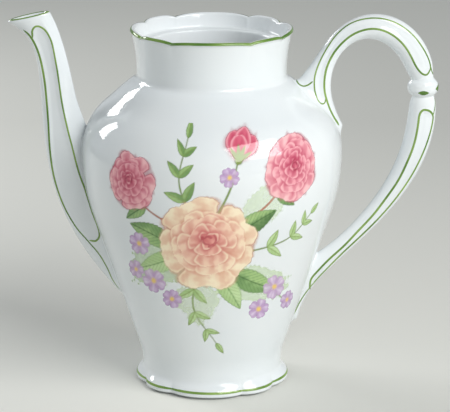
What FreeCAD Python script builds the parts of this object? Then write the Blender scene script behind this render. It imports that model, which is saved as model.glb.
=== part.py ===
"""Porcelain coffee pot: vessel, spout, handle and the fired-on enamel lines, in millimetres.

The pot's axis is Z, the table is z = 0, the spout points to -X and the handle to +X.
"""
import FreeCAD, Part
import math
import os
from FreeCAD import Placement, Rotation, Vector
from Sketcher import Constraint

# Driving dimensions: alias, value, meaning.
SIZES = [
    ("pot_height", 180.0, "table to the crown of the rim"),
    ("wall", 3.2, "thickness of the vessel wall"),
    ("belly_radius", 64.8, "widest radius of the vessel"),
    ("belly_arc", 97.0, "arc radius of the belly below its widest line"),
    ("shoulder_height", 37.5, "widest line up to the corner of the neck"),
    ("shoulder_angle", 39.4, "slope of the straight shoulder in degrees"),
    ("waist_radius", 35.1, "narrowest radius above the foot"),
    ("waist_height", 9.5, "table to the narrowest line"),
    ("waist_arc", 32.5, "arc radius of the hollow above the foot"),
    ("neck_radius", 37.1, "outer radius of the neck"),
    ("neck_height", 23.5, "corner of the neck up to the rim"),
    ("neck_straight", 3.5, "upright part of the neck below its flare"),
    ("neck_flare", 2.0, "power of the neck's flare"),
    ("rim_spread", 3.1, "how far the crown of a rim lobe stands out beyond the neck"),
    ("rim_notch_depth", 0.9, "how far the rim steps in between two lobes"),
    ("rim_notch_drop", 1.2, "how far the rim dips between two lobes"),
    ("rim_notch_fade", 3.0, "power of the notches' growth up the neck"),
    ("rim_spare", 3.0, "stock above the rim that the waved cut takes off"),
    ("lip_wall", 2.6, "thickness of the lip"),
    ("ledge_depth", 6.5, "rim down to the lid ledge"),
    ("ledge_thickness", 10.0, "height of the throat under the lid ledge"),
    ("ledge_reach", 2.9, "how far the lid ledge stands in from the neck's inner wall"),
    ("foot_spread", 3.5, "how far the crown of a foot lobe stands out beyond the waist"),
    ("foot_notch_depth", 2.2, "how far the foot steps in between two lobes"),
    ("foot_round", 1.4, "rounding of the foot's lower edge"),
    ("foot_rest_width", 7.6, "crown of a foot lobe in to the hollow under the foot"),
    ("foot_recess_depth", 4.0, "depth of the hollow under the foot"),
    ("wide_lobe_angle", 58.0, "angle of the four wide lobes in degrees"),
    ("spout_wall", 2.0, "thickness of the spout wall"),
    ("spout_root_out", -18.7, "spout spine start, beyond the body's side"),
    ("spout_root_up", -116.5, "spout spine start, above the rim"),
    ("spout_low_out", 6.3, "first pull of the spout spine, beyond the body's side"),
    ("spout_low_up", -86.3, "first pull of the spout spine, above the rim"),
    ("spout_mid_out", 19.0, "second pull of the spout spine, beyond the belly"),
    ("spout_mid_up", -49.9, "second pull of the spout spine, above the rim"),
    ("spout_high_out", 0.2, "third pull of the spout spine, beyond the belly"),
    ("spout_high_up", -12.7, "third pull of the spout spine, above the rim"),
    ("spout_tip_out", 28.6, "spout spine end, beyond the belly"),
    ("spout_tip_up", 11.4, "spout spine end, above the rim"),
    ("spout_root_half", 22.4, "half width of the spout at its root"),
    ("spout_slim_half", 1.0, "half width that the spout's taper tends to"),
    ("spout_tip_half", 10.0, "half width of the spout at its tip"),
    ("spout_root_flare", 1.24, "power of the taper from the root"),
    ("spout_tip_flare", 5.6, "power of the flare at the tip"),
    ("spout_root_aspect", 0.60, "depth over width of the spout at its root"),
    ("spout_slim_aspect", 0.80, "depth over width along the spout"),
    ("spout_tip_aspect", 0.54, "depth over width of the spout at its tip"),
    ("mouth_out", 25.5, "middle of the spout mouth, beyond the belly"),
    ("mouth_up", 6.4, "middle of the spout mouth, above the rim"),
    ("mouth_tilt", 12.6, "fall of the spout mouth towards its tip in degrees"),
    ("pour_hole_drop", 88.0, "rim down to the middle of the pour hole"),
    ("pour_hole_half_height", 15.0, "half height of the pour hole"),
    ("pour_hole_half_width", 5.5, "half width of the pour hole"),
    ("upper_root_out", -18.5, "upper arm spine start, beyond the belly"),
    ("upper_root_up", -43.6, "upper arm spine start, above the rim"),
    ("upper_low_out", -7.4, "first pull of the upper arm, beyond the belly"),
    ("upper_low_up", -4.9, "first pull of the upper arm, above the rim"),
    ("upper_mid_out", -0.8, "second pull of the upper arm, beyond the belly"),
    ("upper_mid_up", 8.3, "second pull of the upper arm, above the rim"),
    ("upper_high_out", 35.0, "third pull of the upper arm, beyond the belly"),
    ("upper_high_up", 10.7, "third pull of the upper arm, above the rim"),
    ("upper_root_half", 19.3, "half width of the upper arm at its root"),
    ("upper_slim_half", 0.6, "half width that the upper arm's taper tends to"),
    ("upper_tip_half", 5.45, "half width of the upper arm at the knuckle"),
    ("upper_swell_half", 1.6, "half width that the upper arm gains before the knuckle"),
    ("upper_root_flare", 10.2, "power of the flare at the upper root"),
    ("upper_tip_flare", 0.41, "power of the taper towards the knuckle"),
    ("lower_root_out", -11.1, "lower arm spine start, beyond the body's side"),
    ("lower_root_up", -132.8, "lower arm spine start, above the rim"),
    ("lower_low_out", 10.7, "first pull of the lower arm, beyond the body's side"),
    ("lower_low_up", -120.0, "first pull of the lower arm, above the rim"),
    ("lower_mid_out", 38.9, "second pull of the lower arm, beyond the body's side"),
    ("lower_mid_up", -79.6, "second pull of the lower arm, above the rim"),
    ("lower_high_out", 39.6, "third pull of the lower arm, beyond the belly"),
    ("lower_high_up", -59.5, "third pull of the lower arm, above the rim"),
    ("lower_root_half", 17.3, "half width of the lower arm at its root"),
    ("lower_slim_half", 3.85, "half width that the lower arm's taper tends to"),
    ("lower_tip_half", 5.45, "half width of the lower arm at the knuckle"),
    ("lower_swell_half", 2.2, "half width that the lower arm gains before the knuckle"),
    ("lower_root_flare", 12.0, "power of the flare at the lower root"),
    ("lower_tip_flare", 3.5, "power of the taper towards the knuckle"),
    ("arm_root_aspect", 0.45, "depth over width of both arms at their roots"),
    ("arm_slim_aspect", 0.80, "depth over width along both arms"),
    ("knuckle_out", 39.4, "middle of the knuckle, beyond the belly"),
    ("knuckle_up", -29.2, "middle of the knuckle, above the rim"),
    ("knuckle_half_height", 4.3, "half height of the knuckle"),
    ("knuckle_half_width", 7.5, "half width of the knuckle"),
    ("knuckle_half_depth", 6.4, "half depth of the knuckle"),
    ("dash_length", 7.5, "length of an enamel dash on the knuckle"),
    ("dash_width", 2.4, "width of an enamel dash on the knuckle"),
    ("seam_overlap", 0.05, "how far the foot and the flare lap over the turned body"),
    ("seam_depth", 1.0, "how deep the foot and the flare run into the turned body"),
    ("line_width", 1.0, "width of an enamel line"),
    ("line_height", 0.15, "height of the enamel above the glaze"),
    ("foot_line_height", 3.2, "table to the lower edge of the foot line"),
]

# Enamel strokes in limb coordinates: place along the spine from 0 to 1, then across it from -1 to 1.
SPOUT_KEEL = [(0.0, -0.90), (0.06, -0.77), (0.11, -0.70), (0.19, -0.82), (0.27, -0.90), (0.40, -0.88),
              (0.54, -0.79), (0.70, -0.82), (0.83, -0.84), (0.93, -0.88)]
SPOUT_PANEL = [(0.168, -0.71), (0.163, -0.52), (0.23, -0.19), (0.35, 0.05), (0.50, 0.14), (0.62, 0.12),
               (0.75, 0.24), (0.86, 0.43), (0.92, 0.15), (0.925, -0.40)]
UPPER_LOOP = [(0.062, 0.50), (0.076, 0.25), (0.11, -0.05), (0.155, -0.34), (0.29, -0.66), (0.45, -0.77),
              (0.65, -0.74), (0.83, -0.72), (0.935, -0.74), (0.955, -0.25), (0.93, 0.12), (0.886, 0.26),
              (0.76, 0.14), (0.60, 0.02), (0.46, 0.11), (0.28, 0.22), (0.156, 0.43), (0.09, 0.64),
              (0.05, 0.80), (0.0, 0.90)]
LOWER_LOOP = [(0.10, 0.66), (0.12, 0.40), (0.21, 0.09), (0.34, -0.09), (0.49, -0.17), (0.655, -0.22),
              (0.84, -0.24), (0.89, -0.22), (0.905, 0.05), (0.895, 0.50), (0.846, 0.76), (0.70, 0.66),
              (0.53, 0.62), (0.40, 0.62), (0.255, 0.60), (0.18, 0.77), (0.12, 0.90), (0.07, 0.92),
              (0.0, 0.92)]

FULL_TURN = 360.0
QUARTER_TURN = 90.0

# Lobes round the foot and the rim, and the part of a half lobe at which its flank gets a point.
LOBE_COUNT = 8
LOBE_FLANK = 0.7

# Points of a limb's spine, and how finely rings, sections and strokes are drawn.
SPINE_NAMES = ("root", "low", "mid", "high", "tip")
NECK_STEPS = 3
SECTION_COUNT = 9
SECTION_POINTS = 12
STROKE_STEPS = 2

# Power of an arm's swell along it, which peaks at three quarters of the way.
SWELL_POWER = 3
SWELL_PEAK = SWELL_POWER / (SWELL_POWER + 1)

# Edges of the vessel's half section in order, and the points of a sketched edge.
FLOOR, WAIST, CONE, BELLY, SHOULDER, SLOPE, NECK = range(7)
START, END, CENTRE = range(1, 4)

doc = FreeCAD.newDocument("CoffeePot")
sheet = doc.addObject("Spreadsheet::Sheet", "Sizes")
for row, (alias, value, meaning) in enumerate(SIZES, start=1):
    sheet.set(f"A{row}", meaning)
    sheet.set(f"B{row}", str(value))
    sheet.setAlias(f"B{row}", alias)
doc.recompute()


def size(alias):
    """Return the number that the sheet holds under an alias."""
    return float(sheet.get(alias))


def sheet_value(expression):
    """Return the number that an expression of plain sums on the sheet stands for."""
    return float(sheet.evalExpression(expression.replace("Sizes.", "")))


def bind(thing, **expressions):
    """Bind properties of an object to expressions on the sheet; two underscores stand for a dot."""
    for name, expression in expressions.items():
        thing.setExpression(name.replace("__", "."), expression)
    return thing


def boolean(kind, label, base, tool):
    """Add a Part::Cut, Part::Fuse or Part::Common of two objects."""
    result = doc.addObject(f"Part::{kind}", label)
    result.Base = base
    result.Tool = tool
    return result


def cut_chain(label, base, tools):
    """Cut several tools out of a base, one after the other."""
    for index, tool in enumerate(tools):
        last = index == len(tools) - 1
        base = boolean("Cut", label if last else f"{label}_stage_{index + 1}", base, tool)
    return base


def loft(label, sections):
    """Add a smooth solid loft through sections."""
    result = doc.addObject("Part::Loft", label)
    result.Sections = sections
    result.Solid = True
    return result


def shape_feature(label, shape):
    """Add a feature whose shape comes from sizes read off the sheet."""
    result = doc.addObject("Part::Feature", label)
    result.Shape = shape
    return result


# Profile of the vessel.

SHOULDER_ARC = ("((Sizes.shoulder_height * cos(Sizes.shoulder_angle)"
                " - (Sizes.belly_radius - Sizes.neck_radius) * sin(Sizes.shoulder_angle))"
                " / (1 - sin(Sizes.shoulder_angle)))")
BELLY_Z = "(Sizes.pot_height - Sizes.neck_height - Sizes.shoulder_height)"
NECK_Z = "(Sizes.pot_height - Sizes.neck_height)"
LEDGE_Z = "(Sizes.pot_height - Sizes.ledge_depth)"
THROAT_RADIUS = "(Sizes.neck_radius - Sizes.wall - Sizes.ledge_reach)"
FOOT_RADIUS = "(Sizes.waist_radius + Sizes.foot_spread)"


def vessel_points(inset):
    """Work out the tangent points of the vessel's half section, set in from the outside."""
    slope = math.radians(size("shoulder_angle"))
    neck_z = size("pot_height") - size("neck_height")
    belly_z = neck_z - size("shoulder_height")
    overhang = size("belly_radius") - size("neck_radius")
    rise = size("shoulder_height") * math.cos(slope) - overhang * math.sin(slope)
    shoulder_arc = rise / (1.0 - math.sin(slope))
    shoulder_centre = Vector(size("belly_radius") - shoulder_arc, belly_z)
    shoulder_end = shoulder_centre + (shoulder_arc - inset) * Vector(math.sin(slope), math.cos(slope))
    neck = Vector(size("neck_radius") - inset, 0.0)
    neck.y = shoulder_end.y + (shoulder_end.x - neck.x) * math.tan(slope)
    belly = Vector(size("belly_radius") - inset, belly_z)
    belly_centre = Vector(size("belly_radius") - size("belly_arc"), belly_z)
    waist = Vector(size("waist_radius") - inset, size("waist_height"))
    waist_centre = Vector(size("waist_radius") + size("waist_arc"), size("waist_height"))
    between = waist_centre - belly_centre
    reach = size("belly_arc") + size("waist_arc")
    lean = math.atan2(-between.y, between.x) - math.acos(reach / between.Length)
    outward = Vector(math.cos(lean), -math.sin(lean))
    cone_top = belly_centre + outward * (size("belly_arc") - inset)
    cone_foot = waist_centre - outward * (size("waist_arc") + inset)
    return {"waist": waist, "waist_centre": waist_centre, "cone_foot": cone_foot, "cone_top": cone_top,
            "belly": belly, "belly_centre": belly_centre, "shoulder_centre": shoulder_centre,
            "shoulder_end": shoulder_end, "neck": neck}


def body_radius(height):
    """Return the vessel's outer radius at a height between its waist and the corner of its neck."""
    spot = vessel_points(0.0)

    def on_line(low, high):
        return low.x + (high.x - low.x) * (height - low.y) / (high.y - low.y)

    def from_centre(centre, end):
        return math.sqrt((end - centre).Length ** 2 - (height - centre.y) ** 2)

    if height > spot["shoulder_end"].y:
        return on_line(spot["shoulder_end"], spot["neck"])
    if height > spot["belly"].y:
        return spot["shoulder_centre"].x + from_centre(spot["shoulder_centre"], spot["belly"])
    if height > spot["cone_top"].y:
        return spot["belly_centre"].x + from_centre(spot["belly_centre"], spot["belly"])
    if height > spot["cone_foot"].y:
        return on_line(spot["cone_foot"], spot["cone_top"])
    return spot["waist_centre"].x - from_centre(spot["waist_centre"], spot["waist"])


def arc(centre, start, end):
    """Return the arc round a centre that runs anticlockwise from start to end."""
    circle = Part.Circle(centre, Vector(0, 0, 1), (start - centre).Length)
    return Part.ArcOfCircle(circle, circle.parameter(start), circle.parameter(end))


def revolved(name, corners_above, inset_alias):
    """Revolve the vessel's half section, closed over a list of corners above the neck.

    corners_above gives the radius and height expressions of those corners, from the neck up.
    inset_alias names the wall, or is empty for the outside.
    """
    inset = size(inset_alias) if inset_alias else 0.0
    less = f" - Sizes.{inset_alias}" if inset_alias else ""
    more = f" + Sizes.{inset_alias}" if inset_alias else ""
    spot = vessel_points(inset)
    floor = Vector(0.0, spot["waist"].y)
    corners = [Vector(sheet_value(radius), sheet_value(height)) for radius, height in corners_above]
    body = doc.addObject("PartDesign::Body", name)
    sketch = body.newObject("Sketcher::SketchObject", f"{name}_section")
    plane = next(feature for feature in body.Origin.OriginFeatures if feature.Role == "XZ_Plane")
    sketch.AttachmentSupport = [(plane, "")]
    sketch.MapMode = "FlatFace"
    path = [floor, spot["waist"], spot["cone_foot"], spot["cone_top"], spot["belly"],
            spot["shoulder_end"], spot["neck"]] + corners + [floor]
    ends = []
    for index, (first, last) in enumerate(zip(path, path[1:])):
        if index == WAIST:
            geometry = arc(spot["waist_centre"], last, first)
        elif index == BELLY:
            geometry = arc(spot["belly_centre"], first, last)
        elif index == SHOULDER:
            geometry = arc(spot["shoulder_centre"], first, last)
        else:
            geometry = Part.LineSegment(first, last)
        sketch.addGeometry(geometry)
        ends.append((END, START) if index == WAIST else (START, END))
    for index in range(len(ends)):
        following = (index + 1) % len(ends)
        kind = "Tangent" if index in (WAIST, CONE, SHOULDER) else "Coincident"
        sketch.addConstraint(Constraint(kind, index, ends[index][1], following, ends[following][0]))

    def set_by(expression, *constraint):
        """Add a constraint whose value follows an expression."""
        row = sketch.addConstraint(Constraint(*constraint))
        sketch.setExpression(f"Constraints[{row}]", expression)

    def place(edge, point, radius, height):
        """Fix a point of the section by expressions for its radius and height."""
        now = sketch.getPoint(edge, point)
        set_by(radius, "DistanceX", -1, START, edge, point, now.x)
        set_by(height, "DistanceY", -1, START, edge, point, now.y)

    def round_off(edge, level_end, radius):
        """Bind the radius of an arc and put its centre level with its upright end."""
        set_by(radius, "Radius", edge, sketch.Geometry[edge].Radius)
        sketch.addConstraint(Constraint("Horizontal", edge, CENTRE, edge, level_end))

    sketch.addConstraint(Constraint("PointOnObject", FLOOR, START, -2))
    sketch.addConstraint(Constraint("Horizontal", FLOOR))
    place(FLOOR, END, f"Sizes.waist_radius{less}", "Sizes.waist_height")
    round_off(WAIST, END, f"Sizes.waist_arc{more}")
    round_off(BELLY, END, f"Sizes.belly_arc{less}")
    place(BELLY, END, f"Sizes.belly_radius{less}", BELLY_Z)
    round_off(SHOULDER, START, f"{SHOULDER_ARC}{less}")
    slope_foot = (f"{BELLY_Z} + ({SHOULDER_ARC}{less}) * cos(Sizes.shoulder_angle)"
                  f" + (Sizes.belly_radius - {SHOULDER_ARC}"
                  f" + ({SHOULDER_ARC}{less}) * sin(Sizes.shoulder_angle)"
                  f" - (Sizes.neck_radius{less})) * tan(Sizes.shoulder_angle)")
    place(SLOPE, END, f"Sizes.neck_radius{less}", slope_foot)
    for index, (radius, height) in enumerate(corners_above):
        place(NECK + index, END, radius, height)
    doc.recompute()
    solid = body.newObject("PartDesign::Revolution", f"{name}_turn")
    solid.Profile = sketch
    solid.ReferenceAxis = (sketch, ["V_Axis"])
    solid.Angle = FULL_TURN
    return body


FLARE_Z = f"({NECK_Z} + Sizes.neck_straight)"
vessel_form = revolved("vessel_form", [("Sizes.neck_radius", FLARE_Z), ("0", FLARE_Z)], "")
LEDGE_UNDER_Z = f"({LEDGE_Z} - Sizes.ledge_thickness)"
vessel_hollow = revolved("vessel_hollow",
                         [("Sizes.neck_radius - Sizes.wall", LEDGE_UNDER_Z),
                          (THROAT_RADIUS, LEDGE_UNDER_Z),
                          (THROAT_RADIUS, LEDGE_Z),
                          ("0", LEDGE_Z)],
                         "wall")


def closed_curve(points, places, rate):
    """Return a smooth closed edge through points at places from 0 up to 1, starting at a rate."""
    curve = Part.BSplineCurve()
    curve.interpolate(Points=points + points[:1], Parameters=places + [1.0], InitialTangent=rate,
                      FinalTangent=rate, Scale=False)
    return curve.toShape()


# Lobed foot and rim.

def lobe_ring():
    """Return pairs of a turn about Z in degrees and a share, 1 on a crown and 0 in a notch."""
    half_wide = size("wide_lobe_angle") / 2.0
    half_narrow = QUARTER_TURN / 2.0 - half_wide
    flank = 1.0 - LOBE_FLANK ** 2
    ring = []
    for index in range(LOBE_COUNT):
        here, there = (half_narrow, half_wide) if index % 2 else (half_wide, half_narrow)
        crown = index * FULL_TURN / LOBE_COUNT
        notch = crown + here
        ring += [(crown, 1.0), (crown + here * LOBE_FLANK, flank), (notch, 0.0),
                 (notch + there * (1.0 - LOBE_FLANK), flank)]
    return ring


def lobed_edge(radius, depth, height, drop=0.0):
    """Return the closed outline of a ring whose notches step in by a depth and down by a drop."""
    ring = lobe_ring()
    points = []
    for turn, crown in ring:
        reach = radius - depth * (1.0 - crown)
        angle = math.radians(turn)
        points.append(Vector(reach * math.cos(angle), reach * math.sin(angle),
                             height - drop * (1.0 - crown)))
    places = [turn / FULL_TURN for turn, crown in ring]
    return closed_curve(points, places, Vector(0, math.radians(FULL_TURN) * radius, 0))


def lobed_loft(label, rings, grow=0.0):
    """Loft a solid through rings of radius, notch depth and height, grown outwards if asked."""
    sections = []
    for index, (radius, depth, height) in enumerate(rings):
        wire = Part.Wire([lobed_edge(radius + grow, depth, height)])
        sections.append(shape_feature(f"{label}_ring_{index + 1}", wire))
    return loft(label, sections)


def foot_ring(height):
    """Return the ring of the foot at a height, easing from its lobed edge into the round waist."""
    part = (size("waist_height") - height) / (size("waist_height") - size("foot_round"))
    eased = part ** 3 * (10.0 - 15.0 * part + 6.0 * part ** 2)
    return (size("waist_radius") + size("foot_spread") * eased, size("foot_notch_depth") * eased, height)


foot_line_top = size("foot_line_height") + size("line_width")
foot_line_rings = [foot_ring(size("foot_line_height")), foot_ring(foot_line_top)]
foot_rings = [
    (sheet_value(FOOT_RADIUS) - size("foot_round") / 2.0, size("foot_notch_depth"), 0.0),
    foot_ring(size("foot_round")),
    *foot_line_rings,
    foot_ring((foot_line_top + size("waist_height")) / 2.0),
    (size("waist_radius") + size("seam_overlap"), 0.0, size("waist_height")),
    (size("waist_radius") - size("seam_depth"), 0.0, size("waist_height") + size("seam_depth")),
]
foot_form = lobed_loft("foot_form", foot_rings)

rim_z = size("pot_height")
ledge_z = rim_z - size("ledge_depth")
flare_z = rim_z - size("neck_height") + size("neck_straight")
ledge_part = (ledge_z - flare_z) / (rim_z - flare_z)
spare_part = 1.0 + size("rim_spare") / (rim_z - flare_z)


def neck_ring(part, inset=0.0):
    """Return the ring of the flared neck at a part of the way from the flare's start to the rim."""
    return (size("neck_radius") + size("rim_spread") * part ** size("neck_flare") - inset,
            size("rim_notch_depth") * part ** size("rim_notch_fade"),
            flare_z + (rim_z - flare_z) * part)


neck_form = lobed_loft("neck_form", [
    (size("neck_radius") - size("seam_depth"), 0.0, flare_z - size("seam_depth")),
    (size("neck_radius") + size("seam_overlap"), 0.0, flare_z),
    *(neck_ring(step / NECK_STEPS) for step in range(1, NECK_STEPS + 1)),
    neck_ring(spare_part),
])
neck_recess = lobed_loft("neck_recess", [neck_ring(part, size("lip_wall"))
                                         for part in (ledge_part, 1.0, spare_part)])


def waved_disc(label, radius, bottom, height):
    """Add a disc with the rim's lobes and waves, from a bottom height on its crowns upwards."""
    inner = lobed_edge(sheet_value(THROAT_RADIUS) / 2.0, 0.0, bottom, size("rim_notch_drop"))
    outer = lobed_edge(radius, size("rim_notch_depth"), bottom, size("rim_notch_drop"))
    face = Part.makeRuledSurface(inner, outer)
    return shape_feature(label, face.extrude(Vector(0, 0, height)))


rim_cutter = waved_disc("rim_cutter", size("belly_radius"), rim_z, size("rim_spare") * 2.0)
recess_radius = f"{FOOT_RADIUS} - Sizes.foot_rest_width"
foot_recess = bind(doc.addObject("Part::Cone", "foot_recess"), Radius1=recess_radius,
                   Radius2=f"{recess_radius} - Sizes.foot_recess_depth / 2",
                   Height="Sizes.foot_recess_depth")


# Spout and handle arms as lofts of ovals along a spine.

def spine_weights(place):
    """Return the weights of a spine's points, and of their rates, at a place from 0 to 1."""
    last = len(SPINE_NAMES) - 1

    def weight(order, index):
        if index < 0 or index > order:
            return 0.0
        return math.comb(order, index) * place ** index * (1.0 - place) ** (order - index)

    values = [weight(last, index) for index in range(last + 1)]
    rates = [last * (weight(last - 1, index - 1) - weight(last - 1, index)) for index in range(last + 1)]
    return values, rates


class Limb:
    """A spout or an arm: a spine in the plane y = 0 with oval sections across it.

    The spine's points are measured out from the body's side at their height, and from the belly
    where they are above it.
    """

    def __init__(self, name, side, tip, aspects, swell=0.0):
        """Keep the limb's name, its side of the pot (-1 or 1), its tip, depths over widths and swell."""
        self.name = name
        self.swell = swell
        self.aspects = [size(alias) for alias in aspects]
        points = [f"{name}_{point}" for point in SPINE_NAMES[:-1]] + [tip]
        heights = [size("pot_height") + size(f"{point}_up") for point in points]
        belly_z = sheet_value(BELLY_Z)
        self.spine = [Vector(side * (body_radius(min(height, belly_z)) + size(f"{point}_out")), 0.0, height)
                      for point, height in zip(points, heights)]

    def taper(self, place, root, slim, tip):
        """Return a size that runs from the root's over the slim part's to the tip's."""
        from_root = (1.0 - place) ** size(f"{self.name}_root_flare")
        to_tip = place ** size(f"{self.name}_tip_flare")
        return slim + (root - slim) * from_root + (tip - slim) * to_tip

    def half_width(self, place):
        """Return the half width at a place along the spine."""
        taper = self.taper(place, *(size(f"{self.name}_{part}_half") for part in ("root", "slim", "tip")))
        peak = SWELL_PEAK ** SWELL_POWER * (1.0 - SWELL_PEAK)
        return taper + self.swell * place ** SWELL_POWER * (1.0 - place) / peak

    def half_depth(self, place):
        """Return the half depth at a place along the spine."""
        return self.half_width(place) * self.taper(place, *self.aspects)

    def frame(self, place):
        """Return the spine's point and the direction across it at a place along it."""
        values, rates = spine_weights(place)
        spot = sum((point * weight for point, weight in zip(self.spine, values)), Vector())
        along = sum((point * weight for point, weight in zip(self.spine, rates)), Vector()).normalize()
        return spot, Vector(along.z, 0.0, -along.x)

    def point(self, place, across):
        """Return the point of the plane y = 0 at a place along the spine and a share across it."""
        spot, aside = self.frame(place)
        return spot + aside * (self.half_width(place) * across)

    def section(self, place, grow):
        """Return the oval outline at a place along the spine, grown outwards."""
        spot, aside = self.frame(place)
        width = self.half_width(place) + grow
        depth = self.half_depth(place) + grow
        places = [index / SECTION_POINTS for index in range(SECTION_POINTS)]
        angles = [math.radians(FULL_TURN * part) for part in places]
        points = [spot + aside * (width * math.cos(angle)) + Vector(0, depth * math.sin(angle), 0)
                  for angle in angles]
        return closed_curve(points, places, Vector(0, math.radians(FULL_TURN) * depth, 0))

    def solid(self, label, grow=0.0):
        """Add a loft through the limb's sections, each grown outwards."""
        sections = []
        for index in range(SECTION_COUNT):
            outline = self.section(index / (SECTION_COUNT - 1), grow)
            sections.append(shape_feature(f"{label}_section_{index + 1}", Part.Wire([outline])))
        return loft(label, sections)


spout_limb = Limb("spout", -1.0, "spout_tip", ("spout_root_aspect", "spout_slim_aspect", "spout_tip_aspect"))
arm_aspects = ("arm_root_aspect", "arm_slim_aspect", "arm_slim_aspect")
upper_limb = Limb("upper", 1.0, "knuckle", arm_aspects, size("upper_swell_half"))
lower_limb = Limb("lower", 1.0, "knuckle", arm_aspects, size("lower_swell_half"))

spout_form = spout_limb.solid("spout_form")
spout_bore = spout_limb.solid("spout_bore", -size("spout_wall"))
upper_form = upper_limb.solid("upper_form")
lower_form = lower_limb.solid("lower_form")


def mouth_box(label, drop, height):
    """Add a box lying on the spout's slanted mouth, lowered and as high as the expressions say."""
    box = doc.addObject("Part::Box", label)
    box.Placement = Placement(Vector(), Rotation(Vector(0, 1, 0), -size("mouth_tilt")))
    across = "(Sizes.belly_radius * cos(Sizes.mouth_tilt) / 2)"
    along = "(Sizes.belly_radius * sin(Sizes.mouth_tilt) / 2)"
    bind(box, Length="Sizes.belly_radius", Width="Sizes.belly_radius", Height=height,
         Placement__Rotation__Angle="-Sizes.mouth_tilt",
         Placement__Base__x=f"-(Sizes.belly_radius + Sizes.mouth_out) - {across}"
                            f" + ({drop}) * sin(Sizes.mouth_tilt)",
         Placement__Base__y="-Sizes.belly_radius / 2",
         Placement__Base__z=f"Sizes.pot_height + Sizes.mouth_up - {along}"
                            f" - ({drop}) * cos(Sizes.mouth_tilt)")
    return box


mouth_cutter = mouth_box("mouth_cutter", "0", "Sizes.belly_radius")
spout = cut_chain("spout", spout_form, [vessel_form, mouth_cutter, spout_bore])

pour_oval = doc.addObject("Part::Ellipse", "pour_oval")
pour_oval.Placement = Placement(Vector(), Rotation(Vector(0, 1, 0), QUARTER_TURN))
bind(pour_oval, MajorRadius="Sizes.pour_hole_half_height", MinorRadius="Sizes.pour_hole_half_width",
     Placement__Base__x="-Sizes.belly_radius - Sizes.wall",
     Placement__Base__z="Sizes.pot_height - Sizes.pour_hole_drop")
pour_hole = doc.addObject("Part::Extrusion", "pour_hole")
pour_hole.Base = pour_oval
pour_hole.DirMode = "Custom"
pour_hole.Dir = Vector(1, 0, 0)
pour_hole.Solid = True
bind(pour_hole, LengthFwd="Sizes.belly_radius / 2")

vessel_outside = doc.addObject("Part::MultiFuse", "vessel_outside")
vessel_outside.Shapes = [vessel_form, foot_form, neck_form]
pot_body = cut_chain("pot_body", vessel_outside,
                     [vessel_hollow, neck_recess, rim_cutter, foot_recess, pour_hole])


def knuckle_ball(label, grow="0"):
    """Add the knuckle of the handle, grown outwards by an expression."""
    ball = doc.addObject("Part::Ellipsoid", label)
    return bind(ball, Radius1=f"Sizes.knuckle_half_height + {grow}",
                Radius2=f"Sizes.knuckle_half_width + {grow}",
                Radius3=f"Sizes.knuckle_half_depth + {grow}",
                Placement__Base__x="Sizes.belly_radius + Sizes.knuckle_out",
                Placement__Base__z="Sizes.pot_height + Sizes.knuckle_up")


knuckle = knuckle_ball("knuckle")
arms = boolean("Fuse", "arms", boolean("Fuse", "upper_with_knuckle", upper_form, knuckle), lower_form)
handle = cut_chain("handle", arms, [vessel_form])


# Enamel lines, as thin skins of the forms cut to strokes.

def smooth_edge(points):
    """Return a smooth open edge through points."""
    curve = Part.BSplineCurve()
    curve.interpolate(points)
    return curve.toShape()


def stroke_outline(limb, stroke):
    """Return the closed outline of a painted stroke in the plane y = 0."""
    path = smooth_edge([limb.point(place, across) for place, across in stroke])
    count = STROKE_STEPS * (len(stroke) - 1)
    sides = ([], [])
    for index in range(count + 1):
        place = path.FirstParameter + (path.LastParameter - path.FirstParameter) * index / count
        along = path.tangentAt(place)
        aside = Vector(along.z, 0.0, -along.x) * (size("line_width") / 2.0)
        sides[0].append(path.valueAt(place) + aside)
        sides[1].append(path.valueAt(place) - aside)
    ends = [Part.makeLine(sides[0][index], sides[1][index]) for index in (0, -1)]
    return Part.Wire(Part.__sortEdges__([smooth_edge(side) for side in sides] + ends))


def limb_skin(name, limb, form, trims):
    """Add the thin skin on a limb's form that its enamel lines are cut from."""
    return cut_chain(f"{name}_skin", limb.solid(f"{name}_grown", size("line_height")), [form] + trims)


def stroke_lines(name, skin, limb, stroke):
    """Add the enamel line of a stroke on a limb's front and, mirrored, on its back."""
    reach = Vector(0, -size("belly_radius") / 2.0, 0)
    prism = shape_feature(f"{name}_stroke", Part.Face(stroke_outline(limb, stroke)).extrude(reach))
    front = boolean("Common", f"{name}_line_front", skin, prism)
    back = doc.addObject("Part::Mirroring", f"{name}_line_back")
    back.Source = front
    back.Normal = Vector(0, 1, 0)
    return [front, back]


nodes = [pot_body, spout, handle]
spout_skin = limb_skin("spout", spout_limb, spout_form, [vessel_form, mouth_cutter])
upper_skin = limb_skin("upper", upper_limb, upper_form, [vessel_form, knuckle])
lower_skin = limb_skin("lower", lower_limb, lower_form, [vessel_form, knuckle])
nodes += stroke_lines("spout_keel", spout_skin, spout_limb, SPOUT_KEEL)
nodes += stroke_lines("spout_panel", spout_skin, spout_limb, SPOUT_PANEL)
nodes += stroke_lines("handle_upper", upper_skin, upper_limb, UPPER_LOOP)
nodes += stroke_lines("handle_lower", lower_skin, lower_limb, LOWER_LOOP)
mouth_band = mouth_box("mouth_band", "Sizes.line_width", "Sizes.line_width")
nodes.append(boolean("Common", "spout_mouth_line", spout_skin, mouth_band))

foot_disc = lobed_loft("foot_disc", foot_line_rings, size("line_height"))
nodes.append(boolean("Cut", "foot_line", foot_disc, foot_form))
rim_disc = waved_disc("rim_disc", size("neck_radius") + size("rim_spread") + size("line_height"),
                      rim_z - size("line_width"), size("line_width"))
nodes.append(boolean("Cut", "rim_line", rim_disc, neck_form))


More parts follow.
